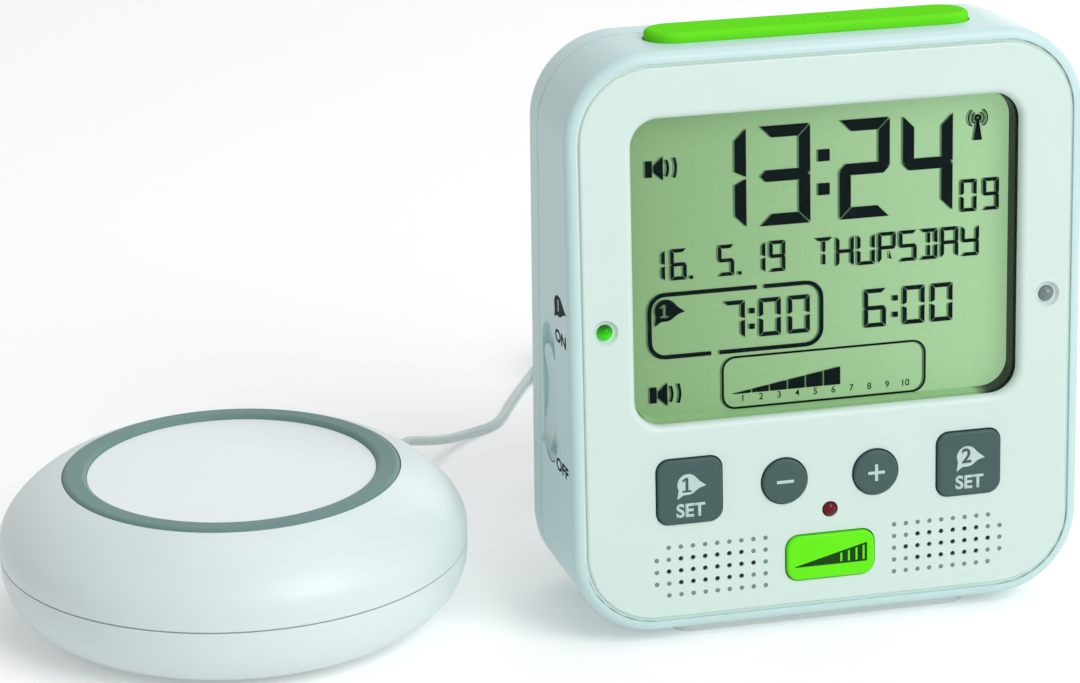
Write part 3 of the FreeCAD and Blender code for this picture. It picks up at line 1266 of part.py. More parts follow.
def make_plug():
    body = start_body("cord_plug", here)
    half = add_sketch(body, "XZ_Plane")
    outline(half, [(as_size(0), -s.plug_pin_length), (s.plug_pin, -s.plug_pin_length), (s.plug_pin, as_size(0)),
                   (s.plug_radius, as_size(0)), (s.plug_radius, s.plug_length),
                   (s.plug_tip_radius, s.plug_length + s.plug_relief_length - s.snug),
                   (as_size(0), s.plug_length + s.plug_relief_length - s.snug)])
    spin(body, half)
    at = V(-float(s.socket_spread), float(s.case_depth + s.play), float(s.socket_level)).add(pivot)
    body.Placement = FreeCAD.Placement(at, FreeCAD.Rotation(V(1, 0, 0), -90))


def make_tie():
    """A flat band closed round the coil's bundle."""
    build = coil_step * float(s.coil_layer_turns) + 2 * float(s.cord_radius)
    height = coil_step * (float(s.coil_layers) - 1) + 2 * float(s.cord_radius)
    gap, band, width = float(s.play) / 2, float(s.tie_thickness), float(s.tie_width)
    x = float(s.coil_x) + float(s.coil_middle) - build / 2
    low = float(s.coil_lift)
    inner = block(x - gap, float(s.coil_y) - width, low - gap, build + 2 * gap, 2 * width, height + 2 * gap)
    outer = block(x - gap - band, float(s.coil_y) - width / 2, low - gap - band,
                  build + 2 * gap + 2 * band, width, height + 2 * gap + 2 * band)
    keep(cut(outer, [inner]), "cord_tie", here)


make_front_panel()
make_main_housing()
make_display()
make_boards()
make_switches()
make_keys()
make_lamp("alarm_lamp", as_size(0), s.red_lamp_level)
make_lamp("signal_lamp", -s.side_lamp_spread, s.side_lamp_level)
make_lamp("light_sensor", s.side_lamp_spread, s.side_lamp_level)
make_speaker("left_speaker", -1)
make_speaker("right_speaker", 1)
make_snooze_bar()
make_slider("alarm_1_slider", -1)
make_slider("alarm_2_slider", 1)
make_slide_switches()
make_aerial()
make_foot()
make_back_cover()
make_door()
make_battery_bay()
make_socket("shaker_socket", -1, s.jack_bore, s.plug_pin_length + s.play)
make_socket("power_socket", 1, s.inlet_bore, s.inlet_depth, s.inlet_pin)
make_case_screws()
make_pad_shells()
make_pad_trim()
make_motor()
make_relief()
make_cord()
make_plug()
make_tie()

doc.recompute()
os.makedirs("parts", exist_ok=True)
for item in doc.Objects:
    if "Invalid" in item.State or "Error" in item.State:
        raise RuntimeError("%s failed: %s" % (item.Label, item.State))
for item in pieces:
    if item.Shape.isNull() or not item.Shape.isValid():
        raise RuntimeError("%s has no valid shape" % item.Label)
    item.Shape.exportStep("parts/%s.step" % item.Label)
    print(item.Label, round(item.Shape.Volume, 1), len(item.Shape.Solids))
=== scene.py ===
import math
import bmesh
import bpy
from mathutils import Matrix, Vector


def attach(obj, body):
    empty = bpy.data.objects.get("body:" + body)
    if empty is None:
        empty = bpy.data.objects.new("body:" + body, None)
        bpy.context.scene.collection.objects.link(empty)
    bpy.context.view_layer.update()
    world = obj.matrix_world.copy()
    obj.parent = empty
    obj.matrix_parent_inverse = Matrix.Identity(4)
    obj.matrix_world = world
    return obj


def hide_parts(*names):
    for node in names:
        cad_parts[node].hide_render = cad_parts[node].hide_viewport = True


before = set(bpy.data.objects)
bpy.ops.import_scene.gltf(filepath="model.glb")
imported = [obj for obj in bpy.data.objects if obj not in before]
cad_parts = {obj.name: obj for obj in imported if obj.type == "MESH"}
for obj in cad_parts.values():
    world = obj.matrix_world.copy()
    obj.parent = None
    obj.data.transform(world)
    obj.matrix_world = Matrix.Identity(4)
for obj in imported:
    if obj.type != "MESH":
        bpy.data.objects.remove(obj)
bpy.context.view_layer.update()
millimetre = 0.001
scene = bpy.context.scene

# where the leaning clock stands: its front lower edge, and how far it leans back
clockStand = {"frontY": -20.0, "lift": 3.0, "lean": math.radians(3.5)}
clockCase = {"halfWidth": 52.75, "height": 117.0}

# the camera stands where the photo was taken from; angles in degrees
cameraSetup = {"place": (-0.20305, -0.62231, 0.28306), "yaw": 13.41, "pitch": 19.28, "roll": -0.66,
               "lens": 114.17, "sensor": 36, "near": 0.01, "far": 20}


def addCamera():
    yaw, pitch, roll = (math.radians(cameraSetup[key]) for key in ("yaw", "pitch", "roll"))
    ahead = Vector((math.sin(yaw) * math.cos(pitch), math.cos(yaw) * math.cos(pitch),
                    -math.sin(pitch)))
    level = Vector((math.cos(yaw), -math.sin(yaw), 0))
    right = level * math.cos(roll) + level.cross(ahead) * math.sin(roll)
    up = right.cross(ahead)
    data = bpy.data.cameras.new("camera")
    data.sensor_fit, data.sensor_width = "HORIZONTAL", cameraSetup["sensor"]
    data.lens = cameraSetup["lens"]
    data.clip_start, data.clip_end = cameraSetup["near"], cameraSetup["far"]
    camera = bpy.data.objects.new("camera", data)
    turn = Matrix((right, up, -ahead)).transposed().to_4x4()
    camera.matrix_world = Matrix.Translation(Vector(cameraSetup["place"])) @ turn
    scene.collection.objects.link(camera)
    scene.camera = camera


addCamera()
scene.view_settings.view_transform = "Standard"
print("camera placed")


# screen colour, 0 to 255, to the shader's linear colour
def linear(red, green, blue):
    shades = [shade / 255 for shade in (red, green, blue)]
    return tuple(s / 12.92 if s <= 0.04045 else ((s + 0.055) / 1.055) ** 2.4
                 for s in shades) + (1.0,)


finishes = {
    "paleFace": {"color": (216, 236, 230), "rough": 0.42, "grain": 1500,
                 "bump": 0.05, "cloud": 0.02},
    "caseShell": {"color": (202, 230, 230), "rough": 0.4, "grain": 1500,
                  "bump": 0.05, "cloud": 0.02},
    # slider knobs: the case's plastic, with painted shade darkening their lower ends
    "sliderKnob": {"color": (202, 230, 230), "rough": 0.45, "grain": 1500,
                   "bump": 0.05, "cloud": 0.02,
                   "low": (174, 202, 208), "lowFrom": 0.0404, "lowTo": 0.0386},
    "padShell": {"color": (226, 239, 239), "rough": 0.36, "grain": 1500,
                 "bump": 0.05, "cloud": 0.02},
    "padDisc": {"color": (243, 251, 252), "rough": 0.45, "grain": 1200,
                "bump": 0.08, "cloud": 0.015},
    "padRing": {"color": (112, 145, 141), "rough": 0.42, "grain": 900, "bump": 0.08,
                "cloud": 0.05, "shine": 0.15},
    "greyKey": {"color": (66, 93, 91), "rough": 0.5, "grain": 1100,
                "bump": 0.1, "cloud": 0.04, "shine": 0.3},
    "brightGreen": {"color": (104, 244, 4), "rough": 0.42, "grain": 1300, "bump": 0.06,
                    "cloud": 0.03, "shine": 0.22},
    "snoozeGreen": {"color": (110, 234, 42), "rough": 0.5, "grain": 1300, "bump": 0.06,
                    "cloud": 0.03, "shine": 0.0},
    "darkGreen": {"color": (16, 66, 6), "rough": 0.5, "grain": 900, "bump": 0.04,
                  "cloud": 0.04, "shine": 0.15},
    "palePrint": {"color": (194, 216, 211), "rough": 0.5, "grain": 900,
                  "bump": 0.03, "cloud": 0.02},
    "greyPrint": {"color": (26, 38, 42), "rough": 0.6, "grain": 900, "bump": 0.03,
                  "cloud": 0.03, "shine": 0.05},
    "blackMoulding": {"color": (20, 24, 24), "rough": 0.5, "grain": 900,
                      "bump": 0.1, "cloud": 0.05},
    "dimpleShade": {"color": (116, 136, 134), "rough": 0.6, "grain": 900,
                    "bump": 0.05, "cloud": 0.05},
    "redLamp": {"color": (104, 4, 14), "rough": 0.14, "grain": 300, "bump": 0.01,
                "cloud": 0.08, "shine": 0.25},
    # green lamp: dark green, with painted light making the lower part of its lens bright
    "greenLamp": {"color": (18, 122, 2), "rough": 0.16, "grain": 300, "bump": 0.01, "cloud": 0.08,
                  "shine": 0.2, "low": (54, 232, 6), "lowFrom": 0.0667, "lowTo": 0.0651},
    "clearLamp": {"color": (120, 134, 138), "rough": 0.1, "grain": 300,
                  "bump": 0.01, "cloud": 0.25},
    "segmentInk": {"color": (3, 17, 20), "rough": 0.5, "grain": 700, "bump": 0.02,
                   "cloud": 0.1, "shine": 0.03},
    "segmentShade": {"color": (92, 132, 92), "rough": 0.5, "grain": 700, "bump": 0.02,
                     "cloud": 0.04, "shine": 0.1},
    "softFoot": {"color": (236, 243, 242), "rough": 0.75, "grain": 600,
                 "bump": 0.2, "cloud": 0.04},
    "cordJacket": {"color": (206, 220, 218), "rough": 0.42, "grain": 1000,
                   "bump": 0.08, "cloud": 0.03},
    "tieBand": {"color": (46, 50, 50), "rough": 0.6, "grain": 700, "bump": 0.15, "cloud": 0.06},
    "circuitBoard": {"color": (24, 92, 52), "rough": 0.35, "grain": 500,
                     "bump": 0.1, "cloud": 0.15},
    "contactRubber": {"color": (196, 132, 140), "rough": 0.6, "grain": 900,
                      "bump": 0.1, "cloud": 0.08},
    "lightGuide": {"color": (232, 240, 226), "rough": 0.25, "grain": 600,
                   "bump": 0.03, "cloud": 0.02},
    "darkFerrite": {"color": (52, 50, 50), "rough": 0.55, "grain": 800,
                    "bump": 0.2, "cloud": 0.1},
    "speakerBasket": {"color": (14, 15, 16), "rough": 0.7, "grain": 700,
                      "bump": 0.15, "cloud": 0.08},
    "platedSteel": {"color": (196, 198, 200), "rough": 0.3, "grain": 900, "bump": 0.08,
                    "cloud": 0.05, "metal": 1.0},
    "springSteel": {"color": (206, 206, 200), "rough": 0.26, "grain": 900, "bump": 0.08,
                    "cloud": 0.05, "metal": 1.0},
    "brassWeight": {"color": (206, 168, 92), "rough": 0.32, "grain": 700, "bump": 0.1,
                    "cloud": 0.06, "metal": 1.0},
    "copperWinding": {"color": (184, 110, 66), "rough": 0.35, "grain": 900, "bump": 0.3,
                      "cloud": 0.1, "metal": 1.0},
}


# a shader node at a place on the board, with values for its own sockets
def newNode(nodes, kind, place, **inputs):
    node = nodes.new(kind)
    node.location = place
    for key, value in inputs.items():
        node.inputs[key].default_value = value
    return node


def startMaterial(name):
    material = bpy.data.materials.new(name)
    material.use_nodes = True
    nodes, links = material.node_tree.nodes, material.node_tree.links
    return material, nodes, links, nodes["Principled BSDF"]


# a mix of two linear colours, whose factor is linked later
def colorMix(nodes, place, first, second):
    mix = newNode(nodes, "ShaderNodeMix", place)
    mix.data_type = "RGBA"
    mix.inputs["A"].default_value, mix.inputs["B"].default_value = first, second
    return mix


# a product of two colours, both set or linked later
def multiplied(nodes, place, factor):
    mix = newNode(nodes, "ShaderNodeMix", place)
    mix.data_type, mix.blend_type = "RGBA", "MULTIPLY"
    mix.inputs["Factor"].default_value = factor
    return mix


# roughness that wanders between two values with a noise
def unevenGloss(nodes, links, shader, noise, least, most):
    gloss = newNode(nodes, "ShaderNodeMapRange", (-420, 20))
    gloss.inputs["To Min"].default_value, gloss.inputs["To Max"].default_value = least, most
    links.new(noise.outputs["Fac"], gloss.inputs["Value"])
    links.new(gloss.outputs["Result"], shader.inputs["Roughness"])


moulded = {"cloudScale": 60, "cloudDetail": 3.0, "grainDetail": 2.0, "reliefDepth": 0.0002,
           "glossSpread": 0.12, "shine": 0.5}


# moulded surface: fine grain in the bump, slow clouds in the colour, uneven gloss,
# and for some a second colour at the lower end, which is painted: painted shade on the slider
# knobs, painted light in the green lamp
def mouldedMaterial(name):
    look = finishes[name]
    material, nodes, links, shader = startMaterial(name)
    shader.inputs["Metallic"].default_value = look.get("metal", 0.0)
    shader.inputs["Specular IOR Level"].default_value = look.get("shine", moulded["shine"])
    where = newNode(nodes, "ShaderNodeTexCoord", (-1100, 0))
    cloud = newNode(nodes, "ShaderNodeTexNoise", (-860, 200), Scale=moulded["cloudScale"],
                    Detail=moulded["cloudDetail"])
    grain = newNode(nodes, "ShaderNodeTexNoise", (-860, -160), Scale=look["grain"],
                    Detail=moulded["grainDetail"])
    base = linear(*look["color"])
    darker = tuple(shade * (1 - look["cloud"]) for shade in base[:3]) + (1,)
    lighter = tuple(min(1, shade * (1 + look["cloud"])) for shade in base[:3]) + (1,)
    tint = colorMix(nodes, (-420, 260), darker, lighter)
    relief = newNode(nodes, "ShaderNodeBump", (-420, -240), Strength=look["bump"],
                     Distance=moulded["reliefDepth"])
    for texture in (cloud, grain):
        links.new(where.outputs["Object"], texture.inputs["Vector"])
    links.new(cloud.outputs["Fac"], tint.inputs["Factor"])
    links.new(tint.outputs["Result"], shader.inputs["Base Color"])
    # the second colour at the lower end is painted shade on the slider knobs and painted light in
    # the green lamp
    if "low" in look:
        split = newNode(nodes, "ShaderNodeSeparateXYZ", (-860, 480))
        sink = newNode(nodes, "ShaderNodeMapRange", (-640, 480))
        sink.inputs["From Min"].default_value = look["lowFrom"]
        sink.inputs["From Max"].default_value = look["lowTo"]
        lower = colorMix(nodes, (-200, 400), base, linear(*look["low"]))
        links.new(where.outputs["Object"], split.inputs["Vector"])
        links.new(split.outputs["Z"], sink.inputs["Value"])
        links.new(sink.outputs["Result"], lower.inputs["Factor"])
        links.new(tint.outputs["Result"], lower.inputs["A"])
        links.new(lower.outputs["Result"], shader.inputs["Base Color"])
    links.new(grain.outputs["Fac"], relief.inputs["Height"])
    links.new(relief.outputs["Normal"], shader.inputs["Normal"])
    unevenGloss(nodes, links, shader, grain, look["rough"] * (1 - moulded["glossSpread"]),
                look["rough"] * (1 + moulded["glossSpread"]))
    return material


materials = {name: mouldedMaterial(name) for name in finishes}

# the panel's glow is painted light; body dims its lit colour so the glow outweighs shade, and the
# change from left to right is a painted light gradient
displayLook = {"left": (117, 152, 106), "right": (150, 188, 143), "halfWidth": 0.04, "rough": 0.4,
               "shine": 0.15, "body": 0.6, "glow": 0.88, "fleck": 0.16, "fleckScale": 2200}


# grey-green panel with a painted glow that washes out the bezel's shadow, painted lighter to the
# right, with a fine sparkle
def displayMaterial():
    material, nodes, links, shader = startMaterial("displayPanel")
    shader.inputs["Roughness"].default_value = displayLook["rough"]
    shader.inputs["Specular IOR Level"].default_value = displayLook["shine"]
    where = newNode(nodes, "ShaderNodeTexCoord", (-1100, 0))
    split = newNode(nodes, "ShaderNodeSeparateXYZ", (-900, 160))
    across = newNode(nodes, "ShaderNodeMapRange", (-700, 200))
    across.inputs["From Min"].default_value = -displayLook["halfWidth"]
    across.inputs["From Max"].default_value = displayLook["halfWidth"]
    sparkle = newNode(nodes, "ShaderNodeTexNoise", (-900, -160), Scale=displayLook["fleckScale"],
                      Detail=2.0)
    tint = colorMix(nodes, (-480, 220), linear(*displayLook["left"]), linear(*displayLook["right"]))
    fleck = multiplied(nodes, (-260, 120), displayLook["fleck"])
    dimmer = multiplied(nodes, (-80, 260), 1.0)
    dimmer.inputs["B"].default_value = (displayLook["body"],) * 3 + (1,)
    links.new(where.outputs["Object"], split.inputs["Vector"])
    links.new(where.outputs["Object"], sparkle.inputs["Vector"])
    links.new(split.outputs["X"], across.inputs["Value"])
    links.new(across.outputs["Result"], tint.inputs["Factor"])
    links.new(tint.outputs["Result"], fleck.inputs["A"])
    links.new(sparkle.outputs["Fac"], fleck.inputs["B"])
    links.new(fleck.outputs["Result"], dimmer.inputs["A"])
    links.new(dimmer.outputs["Result"], shader.inputs["Base Color"])
    # painted light: the panel glows in its own colour
    links.new(fleck.outputs["Result"], shader.inputs["Emission Color"])
    shader.inputs["Emission Strength"].default_value = displayLook["glow"]
    return material


# the sill colour and its glow are painted light on the frame's lower wall
maskLook = {"dark": (20, 24, 24), "paintedSill": (120, 158, 111), "sillLevel": (0.0485, 0.0463),
            "sillEnd": (0.0345, 0.0315), "rough": (0.44, 0.56), "glow": 0.55, "grain": 900}


# black frame round the display, whose lower wall is painted in the panel's green and glows, as
# painted light
def maskMaterial():
    material, nodes, links, shader = startMaterial("displayMask")
    where = newNode(nodes, "ShaderNodeTexCoord", (-1100, 0))
    split = newNode(nodes, "ShaderNodeSeparateXYZ", (-900, 0))
    links.new(where.outputs["Object"], split.inputs["Vector"])
    paintedSillMask = nodes.new("ShaderNodeMath")
    paintedSillMask.operation = "MULTIPLY"
    for slot, (axis, edges) in enumerate((("Z", "sillLevel"), ("X", "sillEnd"))):
        fade = newNode(nodes, "ShaderNodeMapRange", (-700, -240 * slot))
        fade.inputs["From Min"].default_value = maskLook[edges][0]
        fade.inputs["From Max"].default_value = maskLook[edges][1]
        links.new(split.outputs[axis], fade.inputs["Value"])
        links.new(fade.outputs["Result"], paintedSillMask.inputs[slot])
    tint = colorMix(nodes, (-300, 100), linear(*maskLook["dark"]), linear(*maskLook["paintedSill"]))
    glow = nodes.new("ShaderNodeMath")
    glow.operation = "MULTIPLY"
    glow.inputs[1].default_value = maskLook["glow"]
    grain = newNode(nodes, "ShaderNodeTexNoise", (-700, -500), Scale=maskLook["grain"], Detail=2.0)
    links.new(paintedSillMask.outputs["Value"], tint.inputs["Factor"])
    links.new(paintedSillMask.outputs["Value"], glow.inputs[0])
    links.new(tint.outputs["Result"], shader.inputs["Base Color"])
    links.new(tint.outputs["Result"], shader.inputs["Emission Color"])
    links.new(glow.outputs["Value"], shader.inputs["Emission Strength"])
    links.new(where.outputs["Object"], grain.inputs["Vector"])
    unevenGloss(nodes, links, shader, grain, *maskLook["rough"])
    return material


windowLook = {"tint": (236, 250, 236), "rough": (0.032, 0.056), "alpha": 0.003, "shine": 0.5,
              "haze": 40}


# clear window, all but invisible, with a faint gloss
def windowMaterial():
    material, nodes, links, shader = startMaterial("clearWindow")
    shader.inputs["Base Color"].default_value = linear(*windowLook["tint"])
    shader.inputs["Alpha"].default_value = windowLook["alpha"]
    shader.inputs["Specular IOR Level"].default_value = windowLook["shine"]
    where = newNode(nodes, "ShaderNodeTexCoord", (-900, 0))
    haze = newNode(nodes, "ShaderNodeTexNoise", (-700, 0), Scale=windowLook["haze"], Detail=2.0)
    links.new(where.outputs["Object"], haze.inputs["Vector"])
    unevenGloss(nodes, links, shader, haze, *windowLook["rough"])
    return material


cellLook = {"jacket": (52, 56, 60), "band": (196, 148, 62), "bandFrom": 0.0115, "lowest": 0.0155,
            "pitch": 0.0148, "rough": (0.24, 0.39), "metal": 0.7, "scuff": 500}


# dark jacket with a golden band at the plus end, which changes sides from cell to cell
def cellMaterial():
    material, nodes, links, shader = startMaterial("cellJacket")
    shader.inputs["Metallic"].default_value = cellLook["metal"]
    where = newNode(nodes, "ShaderNodeTexCoord", (-1500, 0))
    split = newNode(nodes, "ShaderNodeSeparateXYZ", (-1300, 0))
    links.new(where.outputs["Object"], split.inputs["Vector"])
    rowAt = split.outputs["Z"]
    for operation, value in (("SUBTRACT", cellLook["lowest"]), ("DIVIDE", cellLook["pitch"]),
                             ("FLOOR", 0), ("PINGPONG", 1), ("MULTIPLY", 2), ("SUBTRACT", 1)):
        step = nodes.new("ShaderNodeMath")
        step.operation = operation
        step.inputs[1].default_value = value
        links.new(rowAt, step.inputs[0])
        rowAt = step.outputs["Value"]
    side = nodes.new("ShaderNodeMath")
    side.operation = "MULTIPLY"
    beyond = nodes.new("ShaderNodeMath")
    beyond.operation = "GREATER_THAN"
    beyond.inputs[1].default_value = cellLook["bandFrom"]
    tint = colorMix(nodes, (-400, 200), linear(*cellLook["jacket"]), linear(*cellLook["band"]))
    scuff = newNode(nodes, "ShaderNodeTexNoise", (-700, -200), Scale=cellLook["scuff"], Detail=2.0)
    links.new(split.outputs["X"], side.inputs[0])
    links.new(rowAt, side.inputs[1])
    links.new(side.outputs["Value"], beyond.inputs[0])
    links.new(beyond.outputs["Value"], tint.inputs["Factor"])
    links.new(tint.outputs["Result"], shader.inputs["Base Color"])
    links.new(where.outputs["Object"], scuff.inputs["Vector"])
    unevenGloss(nodes, links, shader, scuff, *cellLook["rough"])
    return material


materials["displayPanel"] = displayMaterial()
materials["displayMask"] = maskMaterial()
materials["cellJacket"] = cellMaterial()
materials["clearWindow"] = windowMaterial()
print("materials made:", len(materials))

# the finish of each part that comes from the solid model
nodeFinish = {
    "front_panel": "paleFace", "main_housing": "caseShell", "back_cover": "caseShell",
    "battery_door": "caseShell", "window_lens": "clearWindow", "display_mask": "displayMask",
    "display_glass": "displayPanel", "display_light_panel": "lightGuide",
    "display_frame": "blackMoulding", "display_connector_strips": "contactRubber",
    "main_board": "circuitBoard", "snooze_board": "circuitBoard",
    "tact_switches": "blackMoulding", "set_1_button": "greyKey", "set_2_button": "greyKey",
    "minus_button": "greyKey", "plus_button": "greyKey", "level_button": "brightGreen",
    "alarm_lamp": "redLamp", "signal_lamp": "greenLamp", "light_sensor": "clearLamp",
    "left_speaker": "speakerBasket", "right_speaker": "speakerBasket",
    "snooze_bar": "snoozeGreen", "alarm_1_slider": "sliderKnob", "alarm_2_slider": "sliderKnob",
    "slide_switches": "platedSteel", "aerial_rod": "darkFerrite",
    "aerial_winding": "copperWinding", "aerial_clips": "blackMoulding", "clock_foot": "softFoot",
    "battery_tray": "blackMoulding", "battery_cells": "cellJacket",
    "battery_contacts": "springSteel", "shaker_socket": "blackMoulding",
    "power_socket": "blackMoulding", "case_screws": "platedSteel", "pad_top_shell": "padShell",
    "pad_base_shell": "padShell", "pad_ring": "padRing", "pad_disc": "padDisc",
    "pad_foot_ring": "softFoot", "pad_screws": "platedSteel", "motor_can": "platedSteel",
    "motor_shaft": "platedSteel", "eccentric_weight": "brassWeight",
    "motor_cradle": "blackMoulding", "motor_clamp": "blackMoulding", "cord_relief": "cordJacket",
    "cord_plug": "cordJacket", "cord_tie": "tieBand",
}


def dressNodes():
    for node, finish in nodeFinish.items():
        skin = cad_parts[node].data.materials
        skin.clear()
        skin.append(materials[finish])


# the cord: from the pad, over the table, wound up behind the clock, and into the socket
cordRoute = {
    "radius": 1.1, "padAxis": (-114.2, 20.4), "exitAngle": 50.0, "exitLevel": 11.5,
    "padReach": 47.2, "straight": (-11.6, 12.8, 25.4),
    "run": ((-61.5, 84.5, 7.7), (-55.4, 93.4, 4.0), (-50.8, 99.2, 2.2), (-45.0, 104.4, 1.1),
            (-40.6, 106.8, 1.1), (-37.3, 111.6, 1.1), (-33.8, 119.4, 1.1), (-29.4, 128.2, 1.1),
            (-23.9, 138.2, 1.3)),
    "lead": ((11.2, 115.8, 10.6), (5.2, 105.6, 7.0), (-3.0, 96.8, 3.0), (-12.6, 89.4, 1.1),
             (-22.4, 83.2, 1.8), (-30.6, 77.4, 5.2), (-35.7, 70.6, 11.4), (-38.4, 63.0, 18.6),
             (-39.375, 53.6, 24.0)),
    "plugEnd": (-39.375, 44.3, 24.0),
}
cordCoil = {"centre": (-1.0, 134.0), "startAngle": 153.0, "middle": 13.2, "step": 3.0, "lift": 0.8,
            "layers": 4, "layerTurns": 4.0, "climbTurns": 0.5, "pointsPerTurn": 14,
            "looseTurns": 0.35, "looseSpread": 2.7}
cordMesh = {"order": 3, "steps": 6, "roundness": 4}


# a point of the wound cord after so many turns, in millimetres
def coilPoint(turns):
    span = cordCoil["layerTurns"] + cordCoil["climbTurns"]
    layer = min(int(turns / span), cordCoil["layers"] - 1)
    inside = turns - layer * span
    run = min(inside, cordCoil["layerTurns"])
    inward = 1 if layer % 2 == 0 else -1
    build = cordCoil["step"] * cordCoil["layerTurns"]
    radius = cordCoil["middle"] + inward * (build / 2 - run * cordCoil["step"])
    radius += cordCoil["looseSpread"] * max(0, 1 - turns / cordCoil["looseTurns"]) ** 2
    climb = max(inside - cordCoil["layerTurns"], 0) / cordCoil["climbTurns"]
    rise = cordCoil["step"] * (layer + climb * climb * (3 - 2 * climb))
    angle = math.radians(cordCoil["startAngle"]) - 2 * math.pi * turns
    x, y = cordCoil["centre"]
    z = cordCoil["lift"] + cordRoute["radius"] + rise
    return (x + radius * math.cos(angle), y + radius * math.sin(angle), z)


# the cord as one round sweep from inside the strain relief to the plug
def layCord():
    angle = math.radians(cordRoute["exitAngle"])

    def along(distance):
        x, y = cordRoute["padAxis"]
        return (x + distance * math.cos(angle), y + distance * math.sin(angle),
                cordRoute["exitLevel"])

    total = cordCoil["layers"] * cordCoil["layerTurns"]
    total += (cordCoil["layers"] - 1) * cordCoil["climbTurns"]
    steps = int(total * cordCoil["pointsPerTurn"])
    points = [along(cordRoute["padReach"] + step) for step in cordRoute["straight"]]
    points += list(cordRoute["run"])
    points += [coilPoint(total * step / steps) for step in range(steps + 1)]
    points += list(cordRoute["lead"]) + [cordRoute["plugEnd"]]
    curve = bpy.data.curves.new("padCord", "CURVE")
    curve.dimensions = "3D"
    spline = curve.splines.new("NURBS")
    spline.points.add(len(points) - 1)
    for point, place in zip(spline.points, points):
        point.co = (*(value * millimetre for value in place), 1)
    spline.order_u = cordMesh["order"]
    spline.use_endpoint_u = True
    spline.resolution_u = cordMesh["steps"]
    curve.bevel_depth = cordRoute["radius"] * millimetre
    curve.bevel_resolution = cordMesh["roundness"]
    curve.use_fill_caps = True
    curve.materials.append(materials["cordJacket"])
    cord = bpy.data.objects.new("padCord", curve)
    scene.collection.objects.link(cord)
    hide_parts("cord_run", "cord_coil", "cord_lead")
    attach(cord, "base")


dressNodes()
print("parts dressed:", len(nodeFinish))
layCord()
print("cord laid")


# millimetres across, up and behind the clock's face, to metres in the scene
def facePoint(u, v, w):
    lean = clockStand["lean"]
    y = clockStand["frontY"] + w * math.cos(lean) + v * math.sin(lean)
    z = clockStand["lift"] + v * math.cos(lean) - w * math.sin(lean)
    return Vector((u, y, z)) * millimetre


def leftSidePoint(across, v, w):
    return facePoint(-clockCase["halfWidth"] - w, v, across)


def rightSidePoint(across, v, w):
    return facePoint(clockCase["halfWidth"] + w, v, across)


# gives flat faces at the back level a wall up to the front level
def thicken(shape, place, front, back):
    grown = bmesh.ops.extrude_face_region(shape, geom=list(shape.faces))
    tops = [item for item in grown["geom"] if isinstance(item, bmesh.types.BMVert)]
    bmesh.ops.translate(shape, verts=tops, vec=place(0, 0, front) - place(0, 0, back))
    bmesh.ops.triangulate(shape, faces=[face for face in shape.faces if len(face.verts) > 4])
    bmesh.ops.recalc_face_normals(shape, faces=shape.faces)


def addPiece(name, shape, finish, body):
    mesh = bpy.data.meshes.new(name)
    shape.to_mesh(mesh)
    shape.free()
    mesh.materials.append(materials[finish])
    piece = bpy.data.objects.new(name, mesh)
    scene.collection.objects.link(piece)
    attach(piece, body)
    return piece


# flat shapes of even thickness, from outlines in millimetres, as one piece of a body
def inlay(name, outlines, place, front, back, finish, body):
    shape = bmesh.new()
    for outline in outlines:
        shape.faces.new([shape.verts.new(place(x, y, back)) for x, y in outline])
    thicken(shape, place, front, back)
    addPiece(name, shape, finish, body)


# an outline drawn round zero, put in its place
def moved(outline, x, y, scale=1.0):
    return [(x + px * scale, y + py * scale) for px, py in outline]


def arcPoints(x, y, radius, start, end, steps):
    angles = [math.radians(start + (end - start) * step / steps) for step in range(steps + 1)]
    return [(x + radius * math.cos(angle), y + radius * math.sin(angle)) for angle in angles]


# a curved band as four-sided outlines
def bowBand(x, y, radius, width, start, end, steps=8):
    outer = arcPoints(x, y, radius + width / 2, start, end, steps)
    inner = arcPoints(x, y, radius - width / 2, start, end, steps)
    return [[outer[i], outer[i + 1], inner[i + 1], inner[i]] for i in range(steps)]


def bar(left, right, low, high):
    return [(left, low), (right, low), (right, high), (left, high)]


# a rounded rectangle as a line, with gaps in its top (True) or bottom (False) edge
def frameBand(left, right, low, high, corner, width, gaps=(), cornerSteps=6):
    half = width / 2
    parts = [bar(left - half, left + half, low + corner, high - corner),
             bar(right - half, right + half, low + corner, high - corner)]
    for level, top in ((high, True), (low, False)):
        openings = [edge for side, *edges in gaps if side == top for edge in edges]
        marks = [left + corner] + openings + [right - corner]
        for start, end in zip(marks[::2], marks[1::2]):
            parts.append(bar(start, end, level - half, level + half))
    for x, y, angle in ((right - corner, high - corner, 0), (left + corner, high - corner, 90),
                        (left + corner, low + corner, 180), (right - corner, low + corner, 270)):
        parts += bowBand(x, y, corner, width, angle, angle + 90, cornerSteps)
    return parts


# the strokes that are dark in each number or letter of the display
segmentsOf = {
    "0": "abcdef", "1": "bc", "2": "abged", "3": "abgcd", "4": "fgbc", "5": "afgcd", "6": "afgecd",
    "7": "abc", "8": "abcdefg", "9": "abfgcd",
    "T": "ail", "H": "bcefg", "U": "bcdef", "R": "abefgn", "S": "afgcd", "D": "abcdil",
    "A": "abcefg", "Y": "bcdfg",
}
letterStroke = {"halfShare": 0.45, "slantTop": 1.6, "slantFoot": 1.2}


